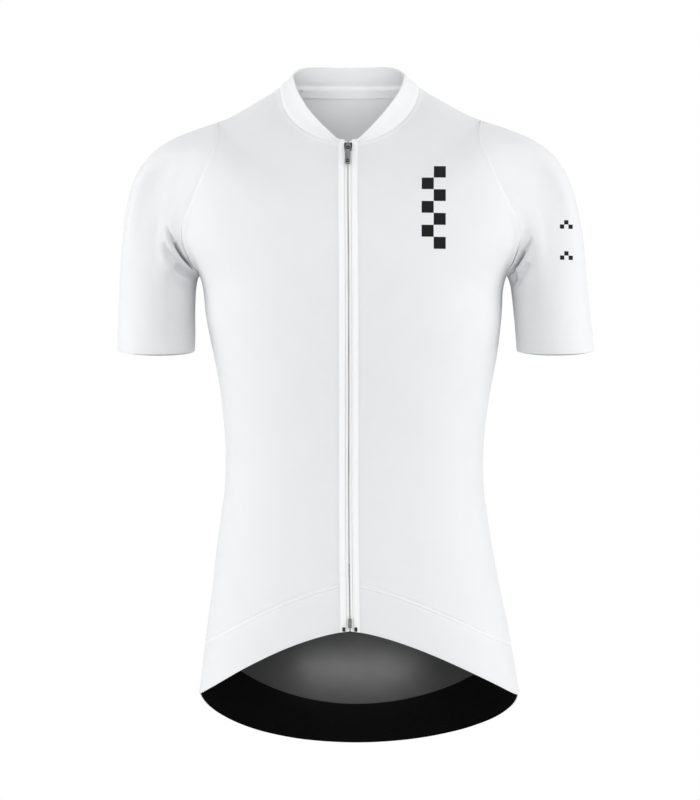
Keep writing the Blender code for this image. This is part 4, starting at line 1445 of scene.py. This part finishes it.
def settled(name):
    """The active piece, named, with its place in its mesh."""
    bpy.ops.object.transform_apply(location=True, rotation=True, scale=True)
    bpy.context.object.name = name
    return bpy.context.object


def block(name, *spans):
    """The cube primitive between two distances along X, Y and Z."""
    middle = [(low + high) / 2 * MM for low, high in spans]
    bpy.ops.mesh.primitive_cube_add(size=1, location=middle, scale=[(high - low) * MM for low, high in spans])
    return settled(name)


def shaped(piece, kind, chosen, operator, **settings):
    """Runs an operator on the points, edges or faces whose middle (mm) and direction fit."""
    with editing(piece):
        bpy.ops.mesh.select_mode(type=kind)
        bpy.ops.mesh.select_all(action="DESELECT")
        edit = bmesh.from_edit_mesh(piece.data)
        for part in {"VERT": edit.verts, "EDGE": edit.edges, "FACE": edit.faces}[kind]:
            corners = [part.co] if kind == "VERT" else [vertex.co for vertex in part.verts]
            middle = sum(corners, Vector()) / len(corners) / MM
            way = part.normal if kind == "FACE" else corners[-1] - corners[0]
            if chosen(middle, way.normalized()):
                part.select_set(True)
        edit.select_flush_mode()
        bmesh.update_edit_mesh(piece.data)
        operator(**settings)


def round_corners(piece, radius, segments, beyond=-math.inf):
    """Rounds the corners that stand up from the cloth, below a distance down the zip."""
    shaped(
        piece, "EDGE", lambda at, way: abs(way.z) > 0.9 and at.y > beyond,
        bpy.ops.mesh.bevel, offset=radius * MM, segments=segments,
    )


def combined(piece, other, operation):
    apply_modifier(piece, "BOOLEAN", operation=operation, object=other, solver="EXACT")
    bpy.data.objects.remove(other)


def placed(piece, place, finish, node, body="jersey", rounding=0.18):
    """Rounds a hard piece's edges and puts it in its place."""
    apply_modifier(
        piece, "BEVEL", width=rounding * MM, segments=3, limit_method="ANGLE", angle_limit=CORNER_ANGLE
    )
    activate(piece)
    bpy.ops.object.shade_smooth_by_angle(angle=CORNER_ANGLE)
    piece.matrix_world = place
    settled(piece.name)
    piece.data.materials.append(finish)
    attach(piece, body)
    if node:
        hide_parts(node)
    print(f"{piece.name}: {len(piece.data.polygons)} faces")


# %% [markdown]
# ## Metal and plastic
#
# Zip hardware is die-cast zinc with a dark gunmetal plating. Plating wears lighter on the edges
# and stays darker in dips, but at this size only a soft cloudiness and a few fine rub marks show.
# The box is moulded in the tape's grey, and the tape's ends are sealed by heat into black lumps.

# %% Hard finishes
ZIP_MIDDLE = 0.45  # the zip's top stands this far to the left of the frame's middle
HIGHLIGHT_HALF = 2.3
ACROSS = (6.0, 1.0, 1.0)  # a Mapping scale that makes marks short across the zip and long down it


def cloudy(name, dark, light, rough, scale, relief=0.02, painted_highlight=None, **constants):
    """A finish with soft clouds between two colours, and fine marks down the zip. A painted highlight is
    an optional band of lighter colour up the middle, a painted reflection on the slider's raised middle."""
    finish = Finish(name, **constants)
    place = finish.place()
    clouds = finish.noise(place, scale, 3.0)
    stretch = finish.node("ShaderNodeMapping", {}, {"Vector": place, "Scale": ACROSS})
    marks = finish.noise(stretch, scale * 4, 2.0, 0.7)
    colour = finish.mix(clouds * 0.7 + marks * 0.3, dark, light)
    # a lighter band up the middle, with darker sides: painted reflection, not wear
    if painted_highlight:
        aside = abs(finish.apart(place)[0] / MM - ZIP_MIDDLE)
        colour = finish.mix(aside > HIGHLIGHT_HALF, painted_highlight, colour)
    return finish.done(colour, clouds * 0.14 + marks * 0.1 + (rough - 0.12), marks, relief)


GUNMETAL = cloudy("gunmetal", grey(0.02), grey(0.06), 0.3, 420.0, Metallic=0.85)
# the slider: gunmetal with a painted reflection up its middle
GUNMETAL_PAINTED_HIGHLIGHT = cloudy(
    "gunmetal_painted_highlight", grey(0.014), grey(0.05), 0.34, 420.0, painted_highlight=grey(0.2), Metallic=0.85
)
SATIN_METAL = cloudy("satin_metal", grey(0.16), grey(0.33), 0.36, 420.0, Metallic=0.9)
GREY_PLASTIC = cloudy("grey_plastic", grey(0.15), grey(0.22), 0.45, 300.0, Coat_Weight=0.1)
SEALED_TAPE = cloudy("sealed_tape", grey(0.006), grey(0.022), 0.5, 900.0, relief=0.12)
print("five hard finishes")

# %% [markdown]
# ## The slider
#
# A slider is a plate, wide where it spreads the two coils and narrow where it closes them, on a
# belly that runs on the coil. An arched bridge stands on it and holds the pull tab. The arch is a
# small rectangle spun half a turn; a bent bar would need a curve and a second tool. The legs of
# the arch and the belly's top reach a little into the plate, so that the unions close.

# %% Make the slider
SLIDER_LEVEL, SLIDER_HALF_LONG, LUG_HALF, TAIL_HALF = 8.0, 5.5, 4.1, 3.1
PLATE_LOW, PLATE_TOP, BELLY_LOW, BELLY_HALF = 1.3, 2.7, 0.9, 2.7
LUG_END = -1.3  # where the plate starts to narrow
PLATE_CORNER, PLATE_RIM, PLATE_CROWN = 1.2, 0.7, 0.25
NEAR = 0.1  # a point this near to an end is on it

ends = (-SLIDER_HALF_LONG, SLIDER_HALF_LONG)
slider = block("slider_body", (-LUG_HALF, LUG_HALF), ends, (PLATE_LOW, PLATE_TOP))
cut = {"plane_co": (0, LUG_END * MM, 0), "plane_no": (0, 1, 0)}
shaped(slider, "FACE", lambda at, way: True, bpy.ops.mesh.bisect, **cut)
shaped(
    slider, "VERT", lambda at, way: at.y > SLIDER_HALF_LONG - NEAR, bpy.ops.transform.resize,
    value=(TAIL_HALF / LUG_HALF, 1, 1), center_override=(0, 0, 0),
)
shaped(
    slider, "EDGE", lambda at, way: abs(way.z) > 0.9 and abs(at.y) > SLIDER_HALF_LONG - NEAR,
    bpy.ops.mesh.bevel, offset=PLATE_CORNER * MM, segments=4,
)
shaped(slider, "FACE", lambda at, way: way.z > 0.9, bpy.ops.mesh.inset, thickness=PLATE_RIM * MM)
inner = SLIDER_HALF_LONG - PLATE_RIM - NEAR
shaped(
    slider, "FACE", lambda at, way: way.z > 0.9 and abs(at.x) < 1 and abs(at.y) < inner,
    bpy.ops.transform.translate, value=(0, 0, PLATE_CROWN * MM),
)
print("slider plate", 2 * LUG_HALF, "x", 2 * SLIDER_HALF_LONG, "mm")

# %% Give it a belly and a bridge
BELLY_SHORT, BELLY_TOP = 0.6, 1.9
BRIDGE_HALF, BRIDGE_OUT, BRIDGE_IN, BRIDGE_SUNK, PIVOT_CLEAR = 1.0, 3.1, 2.2, 0.3, 1.15
SPIN_LOW, BRIDGE_LOW = PLATE_TOP + 2 * PIVOT_CLEAR - BRIDGE_IN, PLATE_TOP - BRIDGE_SUNK

ends = (BELLY_SHORT - SLIDER_HALF_LONG, SLIDER_HALF_LONG - BELLY_SHORT)
combined(slider, block("belly", (-BELLY_HALF, BELLY_HALF), ends, (BELLY_LOW, BELLY_TOP)), "UNION")

bridge_foot = (0, (BRIDGE_IN + BRIDGE_OUT) / 2 * MM, BRIDGE_LOW * MM)
bpy.ops.mesh.primitive_plane_add(size=1, location=bridge_foot)
bridge = bpy.context.object
leg = (SPIN_LOW - BRIDGE_LOW) * MM
with editing(bridge):
    bpy.ops.transform.resize(value=(2 * BRIDGE_HALF * MM, (BRIDGE_OUT - BRIDGE_IN) * MM, 1))
    bpy.ops.mesh.extrude_region_move(TRANSFORM_OT_translate={"value": (0, 0, leg)})
    bpy.ops.mesh.spin(steps=14, angle=math.pi, center=(0, 0, SPIN_LOW * MM), axis=(1, 0, 0))
    bpy.ops.mesh.extrude_region_move(TRANSFORM_OT_translate={"value": (0, 0, -leg)})
    bpy.ops.mesh.select_all(action="SELECT")
    bpy.ops.mesh.remove_doubles(threshold=0.005 * MM)
    bpy.ops.mesh.normals_make_consistent(inside=False)
settled("bridge")
print("bridge, mm:", [round(v / MM, 2) for v in bridge.dimensions])
combined(slider, bridge, "UNION")
zip_top = zip_frame(SLIDER_LEVEL)
placed(slider, zip_top, GUNMETAL_PAINTED_HIGHLIGHT, "zip_slider")

# %% [markdown]
# ## The pull tab
#
# The tab hangs on its bar under the bridge and swings about it, so it rides on a body of its own,
# and is made about the pivot. A window lets the bridge through, a hole near the free end would take
# a cord, and a shallow pressed panel lies between them. All three are cut with Boolean modifiers,
# because building the plate round them would take many more steps. Two small dark rings ride with
# the tab: the eyelet that is set round the hole, and the bail round the window's lower end.

# %% Make the pull tab
TAB_HALF, TAB_LONG, TAB_THICK, TAB_BAR = 2.7, 26.0, 1.2, 0.6
WINDOW_HALF, WINDOW_END, HOLE, HOLE_AT = 1.4, 4.4, 1.35, 22.3
PANEL_HALF, PANEL_TOP, PANEL_END, PANEL_DEEP = 1.5, 6.6, 18.4, 0.25
THROUGH = 2.0  # how far a cutter reaches from the tab's middle

tab = block("pull_tab_plate", (-TAB_HALF, TAB_HALF), (-TAB_BAR, TAB_LONG), (-TAB_THICK / 2, TAB_THICK / 2))
round_corners(tab, radius=1.4, segments=5, beyond=0)
window = block("window", (-WINDOW_HALF, WINDOW_HALF), (TAB_BAR, WINDOW_END), (-THROUGH, THROUGH))
round_corners(window, radius=0.5, segments=3)
bpy.ops.mesh.primitive_cylinder_add(
    vertices=24, radius=HOLE * MM, depth=2 * THROUGH * MM, location=(0, HOLE_AT * MM, 0)
)
hole = bpy.context.object
panel_low = TAB_THICK / 2 - PANEL_DEEP
panel = block("panel", (-PANEL_HALF, PANEL_HALF), (PANEL_TOP, PANEL_END), (panel_low, THROUGH))
round_corners(panel, radius=0.6, segments=3)
for cutter in (window, hole, panel):
    combined(tab, cutter, "DIFFERENCE")
tab_place = zip_top @ Matrix.Translation((0, 0, (PLATE_TOP + PIVOT_CLEAR) * MM))
placed(tab, tab_place, SATIN_METAL, "zip_pull_tab", body="pull_tab", rounding=0.16)

# %% Set its two rings
EYELET = 0.42  # half the thickness of their wire
RING_OUT = TAB_THICK - 0.1
BAIL_AT = WINDOW_END - 0.9

for name, at, radius in (("eyelet", HOLE_AT, HOLE), ("bail", BAIL_AT, WINDOW_HALF)):
    bpy.ops.mesh.primitive_torus_add(
        location=(0, at * MM, RING_OUT * MM), major_radius=(radius + EYELET / 2) * MM,
        minor_radius=EYELET * MM, major_segments=32, minor_segments=10,
    )
    ring = settled(f"pull_tab_{name}")
    placed(ring, tab_place, GUNMETAL, None, body="pull_tab")

# %% [markdown]
# ## The zip's foot
#
# A zip that opens all the way ends in a retaining box, moulded round one tape. A finger groove
# crosses it. Beside it the two tapes end under the hem, each sealed into a dark lump. Melted ends
# are uneven, and could be sculpted, but at 3 mm across a rounded block says as much.

# %% Make the box and the sealed ends
FOOT_LEVEL, BOX_HALF, BOX_LONG, BOX_LOW, BOX_TOP = HEM - 14.0, 1.9, 9.6, 0.9, 2.3
END_HALF, END_LONG, END_DOWN, END_OUT, END_LOW, END_TOP = 1.6, 4.4, 9.0, 6.2, 1.3, 2.1
GROOVE_START, GROOVE_END, GROOVE_DOWN = 2.6, 3.5, 0.35  # the finger groove, and how deep it is cut
SLOT_HALF, SLOT_END, SLOT_DOWN = 0.45, 1.9, 0.7  # the pin's slot
PAST = 1.0  # how far a cutter passes the box

zip_foot = zip_frame(FOOT_LEVEL)
box = block("retaining_box", (-BOX_HALF, BOX_HALF), (0, BOX_LONG), (BOX_LOW, BOX_TOP))
round_corners(box, radius=0.9, segments=4)
for name, width, length, deep in (
    ("groove", (-BOX_HALF - PAST, BOX_HALF + PAST), (GROOVE_START, GROOVE_END), GROOVE_DOWN),
    ("pin_slot", (-SLOT_HALF, SLOT_HALF), (-PAST, SLOT_END), SLOT_DOWN),
):
    cutter = block(name, width, length, (BOX_TOP - deep, BOX_TOP + PAST))
    combined(box, cutter, "DIFFERENCE")
placed(box, zip_foot, GREY_PLASTIC, "zip_box", rounding=0.2)
for name, side in SIDES:
    width = sorted((side * (END_OUT - END_HALF), side * (END_OUT + END_HALF)))
    end = block(f"sealed_end_{name}", width, (END_DOWN, END_DOWN + END_LONG), (END_LOW, END_TOP))
    round_corners(end, radius=0.5, segments=3)
    placed(end, zip_foot, SEALED_TAPE, f"zip_end_{name}", rounding=0.2)

# %% [markdown]
# ## Stitches
#
# Thread is what tells a sewn seam from a printed line. One stitch is a slim rounded bar of white
# thread, 2.5 mm long, and each stitch line is read from a sheet at its distance from an edge. A
# twin-needle seam is two such lines; the groove under each was already pressed into the sheets.
# Dashes in the cloth's colour would be lighter to make, and would not catch the light.

# %% Stitch lines
STITCH_PITCH, STITCH_HALF, THREAD_HALF, THREAD_LIFT = 3.2, 1.25, 0.17, 0.02

bpy.ops.mesh.primitive_uv_sphere_add(segments=6, ring_count=5, radius=1, rotation=(0, math.radians(90), 0))
stitch = settled("stitch")
with editing(stitch):
    bpy.ops.transform.resize(value=(STITCH_HALF * MM, THREAD_HALF * MM, THREAD_HALF * MM))
stitch_shape = shape_of(stitch)


def near(distance):
    return lambda total: distance


def far(distance):
    return lambda total: total - distance


def thread_line(sheet, down, where, part=slice(None)):
    """Stitches at one distance across every row (down the sheet) or down every column."""
    runs = sheet.across if down else sheet.down.T
    grids = [grid if down else grid.transpose(1, 0, 2) for grid in (sheet.points, sheet.normals)]
    points, normals = (
        np.array([read_line(where(run[-1]), run, line) for run, line in zip(runs, grid)]) for grid in grids
    )
    return evenly(points[part] + normals[part] * THREAD_LIFT, normals[part], STITCH_PITCH)


def at_armhole(levels):
    """The rows of a sheet that end at the armhole."""
    return slice(*(int(np.searchsorted(levels, end)) for end in (SHOULDER, ARMPIT)))


thread = Finish("white_thread", Sheen_Weight=0.1)
twist = thread.noise(thread.place(), 1600.0, 1.0)
WHITE_THREAD = thread.done(thread.mix(twist, grey(0.8), grey(0.88)), twist * 0.1 + 0.6, twist, 0.03)
print("a stitch has", len(stitch_shape[1]), "faces")

# %% Sew
EDGE_STITCH = 1.3  # from the fronts' lower edge
DIVISION_TWIN = 0.9  # from a division to each of its two lines
INNER_STITCH, OUTER_STITCH = 1.2, 0.9  # from the facing's two edges

body_lines = [
    thread_line(back, False, near(TWIN)),
    thread_line(back, True, near(TWIN), at_armhole(BACK_LEVELS)),
    thread_line(back, True, far(TWIN), at_armhole(BACK_LEVELS)),
    thread_line(collar, False, near(TOPSTITCH)),
]
pocket_lines = [thread_line(pockets, False, where) for where in (near(MOUTH_HEM), far(HEM - HEM_SEAM))]
for off in (DIVISION, -DIVISION):
    for at in (off - DIVISION_TWIN, off + DIVISION_TWIN):
        pocket_lines.append(thread_line(pockets, True, lambda total, at=at: total / 2 + at, slice(3, -3)))
sleeve_lines, facing_lines = [], []
for _, side in SIDES:
    front, edges = fronts[side], [(near, INNER_STITCH), (far, OUTER_STITCH)]
    body_lines += [thread_line(front, False, where) for where in (near(TWIN), far(TWIN), far(EDGE_STITCH))]
    body_lines.append(thread_line(bands[side], False, near(BAND_STITCH)))
    body_lines.append(thread_line(front, True, far(TWIN), at_armhole(FRONT_LEVELS)))
    sleeve_lines += [thread_line(sleeves[side], False, far(CUFF_HEM - up)) for up in (0, CUFF_TWIN)]
    if side < 0:
        edges = [(far, INNER_STITCH), (near, OUTER_STITCH)]
    facing_lines += [thread_line(facings[side], True, way(at), slice(2, -2)) for way, at in edges]
for name, lines in (
    ("stitches_body", body_lines), ("stitches_pockets", pocket_lines), ("stitches_sleeves", sleeve_lines),
    ("stitches_facings", facing_lines),
):
    copies(name, stitch_shape, lines, WHITE_THREAD)

# %% [markdown]
# ## Floor, light and camera
#
# The jersey is lit like a catalogue cut-out. An even white surround fills every shadow. Two weak
# soft boxes at the sides lift the flanks a little above the chest, one in front and one above it
# lift the chest and the shoulders, and one behind lifts the back. A small light inside the neck and
# a thin one inside the hem show the cloth there. A picture of a studio could light it all at once,
# but would have to travel with the file. The view is level and long, so the shape hardly tapers
# with distance. The pale floor lies well below the hem.

# %% The studio
FLOOR_Z, FLOOR_RADIUS = -0.95, 1.2
SURROUND = 0.612  # its strength on the cloth; to the camera it is plain white

scene.view_settings.view_transform = "Standard"
world = bpy.data.worlds.new("studio_white")
world.use_nodes = True
surround = world.node_tree.nodes["Background"]
seen = world.node_tree.nodes.new("ShaderNodeLightPath").outputs["Is Camera Ray"]
strength = world.node_tree.nodes.new("ShaderNodeMapRange")
strength.inputs["To Min"].default_value, strength.inputs["To Max"].default_value = SURROUND, 1.0
world.node_tree.links.new(seen, strength.inputs["Value"])
world.node_tree.links.new(strength.outputs[0], surround.inputs["Strength"])
surround.inputs["Color"].default_value = (1.0, 1.0, 1.0, 1.0)
scene.world = world

bpy.ops.mesh.primitive_circle_add(
    vertices=96, radius=FLOOR_RADIUS, fill_type="NGON", location=(0, 0, FLOOR_Z)
)
floor = bpy.context.object
floor.name = "floor"
floor.data.materials.append(Finish("pale_floor", Roughness=0.9, Base_Color=grey(0.8)).material)
print("floor", round(-FLOOR_Z / MM), "mm below the neck")

# %% Lights and camera
CAMERA_PLACE, CAMERA_TURN, CAMERA_LENS = (0.12215, -3.49787, -0.323), 2.0, 147.2
MIDDLE = (0, 0, CAMERA_PLACE[2])
SIDE_ANGLE, SIDE_DISTANCE, SIDE_Z, SIDE_SIZE = math.radians(75), 1.6, -0.15, 1.1
SIDE_POWER, FRONT_POWER, TOP_POWER, BACK_POWER, NECK_POWER, HEM_POWER = 11.3, 11.7, 3.4, 10.0, 0.021, 0.05


def soft_box(name, place, aim, size, power, tall=None):
    """An area light at a place, turned to a point. The camera does not see it."""
    bpy.ops.object.light_add(type="AREA", location=place)
    light = bpy.context.object
    light.name = name
    light.data.shape, light.data.size, light.data.size_y = "RECTANGLE", size, tall or size
    light.data.energy = power
    light.rotation_euler = (Vector(aim) - Vector(place)).to_track_quat("-Z", "Y").to_euler()
    light.visible_camera = False


for name, side in SIDES:
    aside, ahead = side * math.sin(SIDE_ANGLE) * SIDE_DISTANCE, math.cos(SIDE_ANGLE) * SIDE_DISTANCE
    soft_box(f"soft_box_{name}", (aside, -ahead, SIDE_Z), MIDDLE, SIDE_SIZE, SIDE_POWER)
soft_box("soft_box_front", (0, -2.3, 0.6), MIDDLE, 1.2, FRONT_POWER)
soft_box("soft_box_top", (0, -0.9, 1.7), (0, 0, -0.1), 1.0, TOP_POWER)
soft_box("soft_box_back", (0.25, 1.7, 1.7), MIDDLE, 1.0, BACK_POWER)
soft_box("neck_light", (0, 0.004, -0.012), (0, 0.06, -0.01), 0.03, NECK_POWER)
soft_box("hem_light", (0.003, 0.075, -0.621), (0.003, 0.1, -0.623), 0.11, HEM_POWER, 0.008)

bpy.ops.object.camera_add(
    location=CAMERA_PLACE, rotation=(math.radians(90), 0, math.radians(CAMERA_TURN))
)
camera = bpy.context.object
camera.data.lens = CAMERA_LENS
scene.camera = camera
print("camera", round(-CAMERA_PLACE[1], 2), "m in front, lens", CAMERA_LENS, "mm")
